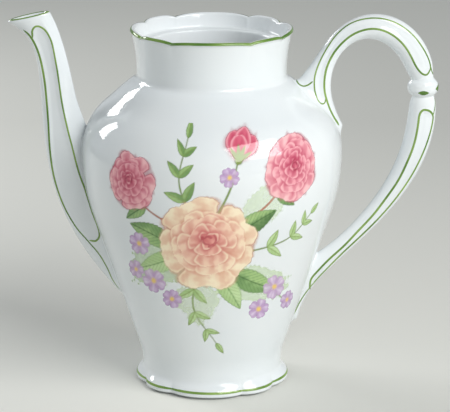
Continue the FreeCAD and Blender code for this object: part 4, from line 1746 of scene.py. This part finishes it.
@dataclass
class Canvas:
    """A sheet of paint in millimetres, x to the right and z up, with a seeded grain."""

    low: Point2
    high: Point2
    cell: float
    seed: int = 5
    grains: Line = ((14.0, 0.45), (6.0, 0.3), (2.6, 0.25))
    grain_waves: int = 7

    def __post_init__(self) -> None:
        """Lay out the sheet's cells and its grain."""
        self.columns, self.rows = (round((top - bottom) / self.cell)
                                   for bottom, top in zip(self.low, self.high))
        self.x, self.z = np.meshgrid(np.linspace(self.low[0], self.high[0], self.columns + 1),
                                     np.linspace(self.low[1], self.high[1], self.rows + 1))
        self.colour = np.ones((*self.x.shape, 3))
        self.cover = np.zeros(self.x.shape)
        chance = np.random.default_rng(self.seed)
        self.grain = sum(self.waves(chance, length, self.grain_waves) * share
                         for length, share in self.grains)

    def waves(self, chance: np.random.Generator, length: float, count: int) -> Array:
        """Return crossing waves of about one length, from -1 to 1.

        Args:
            chance: Source of the waves' directions.
            length: Wave length.
            count: Count of waves.

        Returns:
            The sum of the waves at each cell.
        """
        total = np.zeros(self.x.shape)
        for _ in range(count):
            turn, shift = chance.uniform(0.0, math.tau, 2)
            rate = math.tau / (length * chance.uniform(0.7, 1.4))
            total += np.sin((self.x * math.cos(turn) + self.z * math.sin(turn)) * rate + shift)
        return total / math.sqrt(count * 2.0)

    def window(self, middle: Point2, reach: float) -> Window:
        """Return the rows and columns of the cells near a point.

        Args:
            middle: The point.
            reach: How far the window goes each way.

        Returns:
            Slices of rows and of columns.
        """
        columns, rows = (slice(max(0, int((at - reach - bottom) / self.cell)),
                               max(0, int((at + reach - bottom) / self.cell) + 2))
                         for at, bottom in zip(middle, self.low))
        return rows, columns

    def turned(self, middle: Point2, turn: float, reach: float) -> tuple[Window, Array, Array]:
        """Measure the cells near a point along a direction and across it.

        Args:
            middle: The point.
            turn: The direction in degrees.
            reach: How far the window goes each way.

        Returns:
            The window, and how far each of its cells lies along and across.
        """
        angle = math.radians(turn)
        window = self.window(middle, reach)
        x, z = self.x[window] - middle[0], self.z[window] - middle[1]
        along = x * math.cos(angle) + z * math.sin(angle)
        return window, along, z * math.cos(angle) - x * math.sin(angle)

    def lay(self, window: Window, colour: Array | Colour, share: Array) -> None:
        """Lay paint over what is there.

        Args:
            window: Rows and columns to paint.
            colour: The paint, the same all over or for each cell.
            share: How much the paint covers each cell, from 0 to 1.
        """
        share = np.clip(share, 0.0, 1.0)
        total = share + self.cover[window] * (1.0 - share)
        weight = np.divide(share, total, out=np.zeros_like(share), where=total > 0.0)
        self.colour[window] += (np.asarray(colour) - self.colour[window]) * weight[..., None]
        self.cover[window] = total


class Painted(Protocol):
    """Any part of the spray."""

    def paint(self, canvas: Canvas) -> None:
        """Paint the part on a sheet."""


@dataclass
class Blade:
    """A shape that grows from a base: a petal or a leaf."""

    base: Point2
    turn: float
    length: float
    width: float

    def lay_out(self, canvas: Canvas, reach: float) -> tuple[Window, Array, Array]:
        """Return the cells near the shape, with their shares of its length and its half width."""
        window, along, across = canvas.turned(self.base, self.turn, reach)
        return window, along / self.length, across / (self.width / 2.0)

    def inside(self, half: Array, along: Array, across: Array) -> Array:
        """Return how far cells are inside an outline, whose half width is given as a share."""
        past = np.maximum(along - 1.0, -along).clip(0.0) * self.length
        return (half - abs(across)) * self.width / 2.0 - past


@dataclass
class Petal(Blade):
    """One petal: narrow where it grows and rounded at its end."""

    inner: Colour
    outer: Colour
    edge: Colour
    full: float = 0.62
    dent: float = 0.0
    streak: float = 0.16
    solid: float = 0.94
    shade: float = 0.0
    dent_width: float = 0.35
    ragged: float = 0.05
    streaks: float = 9.0

    def paint(self, canvas: Canvas) -> None:
        """Paint the petal with its soft shadow, its streaks and its fine edge.

        Args:
            canvas: The sheet to paint on.
        """
        window, along, across = self.lay_out(canvas, self.length * 1.25 + self.width * 0.5)
        grain = canvas.grain[window]
        dent = self.dent * np.exp(-(across / self.dent_width) ** 2)
        along = along + dent - self.ragged * grain * (along > 0.3)
        held = np.clip(along, 0.0, 1.0)
        rising = (held / self.full) ** 0.7
        falling = np.sqrt(np.clip(1.0 - ((held - self.full) / (1.0 - self.full)) ** 2, 0.0, 1.0))
        away = self.inside(np.where(held < self.full, rising, falling), along, across)
        if self.shade:
            canvas.lay(window, self.inner, self.shade * step_soft(away + 0.9, 1.5))
        lines = np.sin(across * self.streaks + 2.0 * grain + self.turn) * (0.3 + held)
        colour = tint(self.inner, self.outer, held ** 1.3 + self.streak * lines + 0.12 * grain)
        rim = np.exp(-((away - 0.5) / 0.75) ** 2) * (held > 0.25)
        colour = tint(colour, self.edge, 0.75 * rim)
        outline = np.exp(-((away - 0.05) / 0.22) ** 2) * 0.35
        colour = tint(colour, self.inner, outline)
        canvas.lay(window, colour, self.solid * step_soft(away, 0.32))


@dataclass
class Stroke:
    """A brush stroke along a curved line that thins towards its end."""

    points: Line
    width: float
    colour: Colour
    solid: float = 0.85
    taper: float = 0.6

    def paint(self, canvas: Canvas) -> None:
        """Paint the stroke.

        Args:
            canvas: The sheet to paint on.
        """
        path = smooth_path(self.points, 8)
        middle = tuple(sum(values) / len(path) for values in zip(*path))
        reach = max(math.dist(point, middle) for point in path) + self.width
        window = canvas.window(middle, reach)
        x, z = canvas.x[window], canvas.z[window]
        share = np.zeros(x.shape)
        for index, (start, end) in enumerate(zip(path, path[1:])):
            away = stretch_distance(x, z, start, end)
            half = self.width / 2.0 * (1.0 - self.taper * index / len(path))
            share = np.maximum(share, step_soft(half - away, 0.28))
        canvas.lay(window, self.colour, self.solid * share * (0.9 + 0.2 * canvas.grain[window]))


@dataclass
class Leaf(Blade):
    """A pointed leaf with a midrib, side veins and a lighter half."""

    light: Colour
    dark: Colour
    vein: Colour
    bend: float = 0.0
    teeth: float = 0.09
    solid: float = 0.92
    tooth_length: float = 2.1
    vein_gap: float = 2.3
    vein_lean: float = 0.30

    def paint(self, canvas: Canvas) -> None:
        """Paint the leaf.

        Args:
            canvas: The sheet to paint on.
        """
        window, along, across = self.lay_out(canvas, self.length * 1.15)
        across = across - self.bend * (along ** 2 - along)
        grain = canvas.grain[window]
        held = np.clip(along, 0.0, 1.0)
        saw = (held * self.length / self.tooth_length) % 1.0
        half = np.sin(math.pi * held ** 0.72) ** 0.85 * (1.0 - self.teeth * saw)
        away = self.inside(half, along, across)
        side = step_soft(across + 0.25 * grain, 0.35)
        colour = tint(self.dark, self.light, 0.2 + 0.65 * side + 0.25 * grain + 0.12 * held)
        ribs = (held - self.vein_lean * abs(across)) * self.length / self.vein_gap
        veins = np.exp(-((ribs - np.round(ribs)) / 0.10) ** 2) * 0.35 * step_soft(away - 0.4, 0.5)
        middle = np.exp(-(across * self.width / 2.0 / 0.26) ** 2) * (held < 0.96) * 0.8
        rim = np.exp(-((away - 0.1) / 0.25) ** 2) * 0.4
        colour = tint(colour, self.vein, np.clip(veins + middle + rim, 0.0, 1.0))
        canvas.lay(window, colour, self.solid * step_soft(away, 0.3))


@dataclass
class Wash:
    """A loose pale wash behind the flowers."""

    middle: Point2
    radii: Point2
    turn: float
    colour: Colour
    solid: float = 0.5

    def paint(self, canvas: Canvas) -> None:
        """Paint the wash.

        Args:
            canvas: The sheet to paint on.
        """
        window, along, across = canvas.turned(self.middle, self.turn, max(self.radii) * 1.5)
        grain = canvas.grain[window]
        from_middle = np.hypot(along / self.radii[0], across / self.radii[1])
        away = (1.0 - from_middle + 0.28 * grain) * min(self.radii)
        pool = 0.75 + 0.25 * np.exp(-((away - 0.6) / 0.7) ** 2) + 0.2 * grain
        canvas.lay(window, self.colour, self.solid * pool * step_soft(away, 0.8))


@dataclass(frozen=True)
class Palette:
    """Colours of a bloom from its heart to its edge."""

    heart: Colour
    deep: Colour
    middle: Colour
    pale: Colour


@dataclass
class Rosette:
    """A full bloom: rings of petals that get smaller towards a curled heart."""

    middle: Point2
    radius: float
    palette: Palette
    turn: float = 0.0
    lean: float = 90.0
    seed: int = 1
    rings: tuple[tuple[int, float, float], ...] = (
        (5, 0.42, 0.66), (5, 0.32, 0.56), (4, 0.22, 0.47), (3, 0.12, 0.38), (3, 0.05, 0.26))
    ring_turn: float = 37.0
    heart_shift: float = 0.16
    overlap: float = 0.22

    def paint(self, canvas: Canvas) -> None:
        """Paint the bloom from its outer ring to its heart.

        Args:
            canvas: The sheet to paint on.
        """
        chance = np.random.default_rng(self.seed)
        lean = math.radians(self.lean)
        colours = self.palette
        for ring, (count, away, reach) in enumerate(self.rings):
            depth = ring / (len(self.rings) - 1)
            middle = polar(self.middle, self.heart_shift * self.radius * depth, lean)
            first = self.turn + ring * self.ring_turn
            turns = [first + index * FULL_TURN / count for index in range(count)]
            blush = np.array(colours.middle) * (1.0 - depth) + np.array(colours.deep) * depth
            tip = np.array(colours.pale) * (1.0 - 0.6 * depth) + blush * 0.6 * depth
            for turn in sorted(turns, key=lambda place: -math.sin(math.radians(place - self.lean + 90.0))):
                turn += chance.uniform(-14.0, 14.0)
                base = polar(middle, self.radius * (away - self.overlap), math.radians(turn))
                size = self.radius * reach * chance.uniform(0.95, 1.2)
                Petal(base, turn, size * 1.18, size * chance.uniform(1.4, 1.75), tuple(blush * 0.92),
                      tuple(tip), colours.pale, full=0.64, dent=chance.uniform(0.0, 0.16), streak=0.24,
                      shade=0.6).paint(canvas)
        heart = polar(self.middle, self.heart_shift * self.radius, lean)
        for curl in range(3):
            start = math.radians(self.turn + 120.0 * curl)
            reach = self.radius * (0.07 + 0.05 * curl)
            arc = tuple(polar(heart, reach, start + 0.7 * step) for step in range(4))
            Stroke(arc, 0.07 * self.radius, colours.heart, solid=0.6).paint(canvas)


@dataclass
class Blossom:
    """A small flat blossom with round petals and a yellow eye."""

    middle: Point2
    radius: float
    palette: Palette
    turn: float = 0.0
    count: int = 5

    def paint(self, canvas: Canvas) -> None:
        """Paint the blossom.

        Args:
            canvas: The sheet to paint on.
        """
        colours = self.palette
        for index in range(self.count):
            turn = self.turn + index * FULL_TURN / self.count
            Petal(self.middle, turn, self.radius, self.radius * 4.3 / self.count, colours.middle,
                  colours.pale, colours.deep, full=0.66, dent=0.1, streak=0.25, solid=0.85).paint(canvas)
        eye = self.radius * 0.2
        Wash(self.middle, (eye, eye), 0.0, colours.heart, 0.95).paint(canvas)


@dataclass
class Bud:
    """A half-open bud in its green cup."""

    base: Point2
    turn: float
    length: float
    palette: Palette
    cup: Colour

    def paint(self, canvas: Canvas) -> None:
        """Paint the bud and its cup.

        Args:
            canvas: The sheet to paint on.
        """
        colours = self.palette
        for lean, size in ((26.0, 0.92), (-26.0, 0.92), (0.0, 1.0), (11.0, 0.78)):
            Petal(self.base, self.turn + lean, self.length * size, self.length * 0.62, colours.deep,
                  colours.middle, colours.pale, full=0.58, shade=0.3).paint(canvas)
        for lean in (48.0, -48.0, 14.0, -14.0):
            Leaf(self.base, self.turn + lean, self.length * 0.52, self.length * 0.15, self.cup, self.cup,
                 self.cup, teeth=0.0).paint(canvas)
        knob = self.length * 0.13
        Wash(self.base, (knob, knob), 0.0, self.cup, 0.95).paint(canvas)


@dataclass
class Sprig:
    """A thin stem with pairs of leaves that get smaller towards its end."""

    points: Line
    pairs: int
    leaf: float
    light: Colour
    dark: Colour
    stem: Colour
    spread: float = 52.0
    slim: float = 0.42

    def paint(self, canvas: Canvas) -> None:
        """Paint the stem and its leaves.

        Args:
            canvas: The sheet to paint on.
        """
        path = smooth_path(self.points, 10)
        Stroke(self.points, 0.85, self.stem).paint(canvas)
        for pair in range(self.pairs):
            part = (pair + 1.0) / (self.pairs + 0.6)
            index = min(len(path) - 2, int(part * (len(path) - 1)))
            here, there = path[index], path[index + 1]
            ahead = math.degrees(math.atan2(there[1] - here[1], there[0] - here[0]))
            size = self.leaf * (1.0 - 0.45 * part)
            for side in (-1.0, 1.0):
                turn = ahead + side * self.spread * (1.0 - 0.3 * part)
                Leaf(here, turn, size, size * self.slim, self.light, self.dark, self.stem, bend=0.5 * side,
                     teeth=0.05).paint(canvas)
        here, there = path[-2], path[-1]
        ahead = math.degrees(math.atan2(there[1] - here[1], there[0] - here[0]))
        size = self.leaf * 0.62
        Leaf(there, ahead, size, size * self.slim, self.light, self.dark, self.stem).paint(canvas)


CREAM = Palette((0.66, 0.22, 0.26), (0.87, 0.45, 0.45), (0.95, 0.72, 0.60), (0.99, 0.93, 0.81))
PINK = Palette((0.56, 0.12, 0.22), (0.75, 0.25, 0.37), (0.86, 0.42, 0.51), (0.97, 0.77, 0.78))
LILAC = Palette((0.93, 0.80, 0.42), (0.73, 0.58, 0.77), (0.80, 0.68, 0.84), (0.91, 0.84, 0.94))
LEAF_LIGHT = (0.66, 0.79, 0.52)
LEAF_DARK = (0.42, 0.58, 0.34)
LEAF_PALE = (0.78, 0.88, 0.66)
LEAF_DEEP = (0.25, 0.40, 0.20)
STEM = (0.52, 0.62, 0.34)
STEM_RED = (0.72, 0.45, 0.36)


def spray() -> list[Painted]:
    """Return the spray's parts.

    Returns:
        The parts in the order in which they are painted.
    """
    washes = [Wash((-22.0, 78.0), (20.0, 11.0), 35.0, (0.82, 0.91, 0.72), 0.55),
              Wash((18.0, 66.0), (20.0, 9.0), -15.0, (0.84, 0.92, 0.74), 0.5),
              Wash((24.0, 104.0), (13.0, 8.0), 40.0, (0.86, 0.93, 0.77), 0.45),
              Wash((-6.0, 58.0), (9.0, 12.0), 10.0, (0.86, 0.93, 0.76), 0.45)]
    stems = [Stroke(((-2.0, 92.0), (8.0, 112.0), (12.0, 126.0)), 1.2, STEM),
             Stroke(((0.0, 92.0), (22.0, 102.0), (36.0, 116.0)), 1.3, STEM_RED),
             Stroke(((-8.0, 92.0), (-26.0, 100.0), (-36.0, 108.0)), 1.1, STEM_RED),
             Stroke(((4.0, 80.0), (24.0, 66.0), (36.0, 54.0)), 1.0, STEM)]
    sprigs = [Sprig(((-8.0, 98.0), (-14.0, 116.0), (-10.0, 134.0)), 3, 11.5, LEAF_LIGHT, LEAF_DARK, STEM),
              Sprig(((-6.0, 74.0), (-8.0, 54.0), (2.0, 36.0)), 3, 10.5, LEAF_PALE, LEAF_LIGHT, STEM),
              Sprig(((14.0, 82.0), (36.0, 86.0), (50.0, 96.0)), 3, 11.0, LEAF_PALE, LEAF_LIGHT, STEM)]
    strong = (LEAF_LIGHT, LEAF_DARK, LEAF_DEEP)
    young = (LEAF_PALE, LEAF_LIGHT, LEAF_DARK)
    leaves = [Leaf((-18.0, 86.0), 160.0, 22.0, 11.0, *strong, bend=0.5),
              Leaf((-16.0, 80.0), 205.0, 21.0, 10.5, *young, bend=-0.4),
              Leaf((10.0, 72.0), -28.0, 23.0, 11.5, *strong, bend=0.5),
              Leaf((4.0, 70.0), -62.0, 19.0, 9.5, *young, bend=-0.3),
              Leaf((12.0, 92.0), 28.0, 20.0, 10.0, LEAF_LIGHT, LEAF_DEEP, LEAF_DEEP, bend=-0.5),
              Leaf((30.0, 110.0), -40.0, 12.0, 6.0, *strong, bend=0.4),
              Leaf((-30.0, 103.0), 215.0, 13.0, 6.5, *strong, bend=0.4)]
    small = [Blossom((x, z), radius, LILAC, turn) for x, z, radius, turn in (
        (-34.0, 84.0, 6.0, 20.0), (-27.0, 66.0, 6.5, 50.0), (-37.0, 70.0, 5.0, 5.0),
        (30.0, 62.0, 6.5, 35.0), (39.0, 53.0, 5.0, 10.0), (22.0, 52.0, 5.5, 70.0),
        (-18.0, 58.0, 5.0, 0.0), (8.0, 118.0, 4.6, 44.0))]
    blooms = [Rosette((38.0, 119.0), 13.5, PINK, 15.0, lean=55.0, seed=4),
              Rosette((-38.0, 113.0), 12.0, PINK, 70.0, lean=120.0, seed=9),
              Bud((12.0, 125.0), 78.0, 13.0, PINK, STEM),
              Rosette((-2.0, 86.0), 21.0, CREAM, 40.0, lean=80.0, seed=7)]
    return washes + stems + sprigs + leaves + small + blooms


def linear(colour: Array) -> Array:
    """Return colours as a lamp adds them up, from colours as a screen shows them."""
    return np.where(colour <= 0.04045, colour / 12.92, ((colour + 0.055) / 1.055) ** 2.4)


@dataclass
class FlowerPrint:
    """The painted spray on the front and the back of the vessel, as a thin clear film."""

    vessel: Vessel
    low: Point2 = (-56.0, 24.0)
    high: Point2 = (60.0, 146.0)
    cell: float = 0.35
    middle: float = 88.0
    scale: float = 1.1
    lift: float = 0.05
    least_cover: float = 0.01

    def build(self, material: Material) -> None:
        """Paint the spray and wrap it on both sides.

        Args:
            material: The print's finish.
        """
        canvas = Canvas(self.low, self.high, self.cell)
        for part in spray():
            part.paint(canvas)
        paint = np.dstack([linear(np.clip(canvas.colour, 0.0, 1.0)), canvas.cover])
        for side in Side:
            self.wrap(canvas, paint, side, material)

    def wrap(self, canvas: Canvas, paint: Array, side: Side, material: Material) -> None:
        """Wrap the painted sheet on one side and cut off what is clear.

        Args:
            canvas: The sheet.
            paint: Red, green, blue and cover of each cell.
            side: Front or back of the pot.
            material: The print's finish.
        """
        mesh = bmesh.new()
        layer = mesh.verts.layers.float_color.new(Print.paint)
        middle = math.radians(side.value * FULL_TURN / 4.0)
        for vertex, column, row in grid_points(mesh, canvas.columns, canvas.rows):
            height = self.middle + (float(canvas.z[row, column]) - self.middle) * self.scale
            radius = self.vessel.radius(height)
            turn = middle + float(canvas.x[row, column]) * self.scale / radius
            vertex[layer] = paint[row, column]
            vertex.co = (*polar((0.0, 0.0), radius + self.lift, turn), height)
        clear = [face for face in mesh.faces
                 if all(vertex[layer].w < self.least_cover for vertex in face.verts)]
        bmesh.ops.delete(mesh, geom=clear, context="FACES")
        finish_piece(f"flower_print_{side.name.lower()}", mesh, material, Slot.PORCELAIN, closed=False)


# Stage.

@dataclass
class Studio:
    """Floor, lamps and camera, in millimetres."""

    eye: Triple = (6.56, -1200.0, 418.0)
    target: Triple = (6.56, 0.0, 89.6)
    lens: float = 198.7
    middle: Triple = (0.0, 0.0, 110.0)
    floor_half: float = 3000.0
    floor_roughness: float = 0.7
    floor_range: Range = (-0.1, 1.1)
    floor_middle: float = 0.55
    # Greys of the floor from front to back: painted light, darker midway and lighter far back.
    floor_painted_light: Triple = (0.75, 0.685, 0.86)
    floor_tint: Colour = (1.0, 1.005, 0.95)
    room_level: Colour = (0.93, 0.98, 1.0)
    room_top: Colour = (0.36, 0.385, 0.40)
    room_rise: float = 0.7
    room_strength: float = 0.5

    def lamp(self, name: str, turn: float, rise: float, away: float, size: Point2, watts: float,
             colour: Colour = (1.0, 1.0, 1.0)) -> None:
        """Add an area lamp that points at the pot.

        Args:
            name: Name of the lamp.
            turn: Turn to the right from the front in degrees.
            rise: Angle above the table in degrees.
            away: Distance from the pot's middle.
            size: Its width and height.
            watts: Its power.
            colour: Its colour.
        """
        data = bpy.data.lights.new(name, "AREA")
        data.shape = "RECTANGLE"
        data.size, data.size_y = (side * METRES for side in size)
        data.energy = watts
        data.color = colour
        lamp = add_object(name, data)
        turn, rise = math.radians(turn), math.radians(rise)
        level = math.cos(rise)
        aside = Vector((level * math.sin(turn), -level * math.cos(turn), math.sin(rise)))
        lamp.location = (Vector(self.middle) + aside * away) * METRES
        lamp.rotation_euler = aside.to_track_quat("Z", "Y").to_euler()

    def floor(self) -> None:
        """Lay the pale floor, whose grey changes a little towards the back: painted light, darker midway
        and lighter far back.
        """
        material = bpy.data.materials.new("floor_paper")
        material.use_nodes = True
        nodes = Nodes(material.node_tree)
        shader = material.node_tree.nodes["Principled BSDF"]
        shader.inputs["Roughness"].default_value = self.floor_roughness
        ramp = nodes.add("ShaderNodeValToRGB")
        ramp.color_ramp.elements.new(self.floor_middle)
        for stop, shade in zip(ramp.color_ramp.elements, self.floor_painted_light):
            stop.color = (*(shade * part for part in self.floor_tint), 1.0)
        nodes.join(nodes.spread(nodes.coordinate("Y"), self.floor_range), ramp.inputs["Fac"])
        nodes.join(ramp.outputs["Color"], shader.inputs["Base Color"])
        mesh = bmesh.new()
        bmesh.ops.create_grid(mesh, x_segments=1, y_segments=1, size=self.floor_half * METRES)
        mesh_object("floor", mesh, material)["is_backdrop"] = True

    def camera(self) -> None:
        """Set the camera at the photograph's angle."""
        data = bpy.data.cameras.new("camera")
        data.lens = self.lens
        camera = add_object("camera", data)
        camera.location = Vector(self.eye) * METRES
        ahead = Vector(self.target) - Vector(self.eye)
        camera.rotation_euler = ahead.to_track_quat("-Z", "Y").to_euler()
        bpy.context.scene.camera = camera

    def room(self) -> None:
        """Surround the pot with a soft light that is brighter at eye level than overhead."""
        world = bpy.data.worlds.new("room")
        world.use_nodes = True
        nodes = Nodes(world.node_tree)
        ground = world.node_tree.nodes["Background"]
        up = nodes.spread(nodes.coordinate("Z", "Generated"), (0.0, self.room_rise))
        nodes.join(nodes.blend(up, self.room_level, self.room_top), ground.inputs["Color"])
        ground.inputs["Strength"].default_value = self.room_strength
        bpy.context.scene.world = world

    def build(self) -> None:
        """Set up the floor, the lamps, the surrounding light and the camera."""
        self.floor()
        self.camera()
        self.lamp("right_window", 43.0, 34.0, 1500.0, (1200.0, 700.0), 20.5, (1.0, 0.99, 0.97))
        self.lamp("left_window", -123.0, 22.5, 1000.0, (290.0, 340.0), 3.6)
        self.lamp("left_pane", -140.5, 27.5, 1000.0, (150.0, 180.0), 1.1)
        self.room()
        bpy.context.scene.view_settings.view_transform = "Standard"


def corners() -> list[list[float]]:
    """Return the lowest and highest corner of what is shown, as plain lists."""
    return [list(corner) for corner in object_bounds()]


def main() -> None:
    """Build the pot's pieces in order."""
    logging.basicConfig(level=logging.INFO, format="%(message)s")
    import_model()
    glaze = Glaze().make()
    porcelain = Porcelain().make(glaze)
    enamel = Enamel().make(glaze)
    vessel = Vessel()
    vessel.build(porcelain)
    Spout(vessel).build(porcelain, enamel)
    Handle(vessel).build(porcelain, enamel)
    Rings(vessel).build(enamel)
    FlowerPrint(vessel).build(Print().make(glaze))
    Studio().build()


if __name__ == "__main__":
    main()
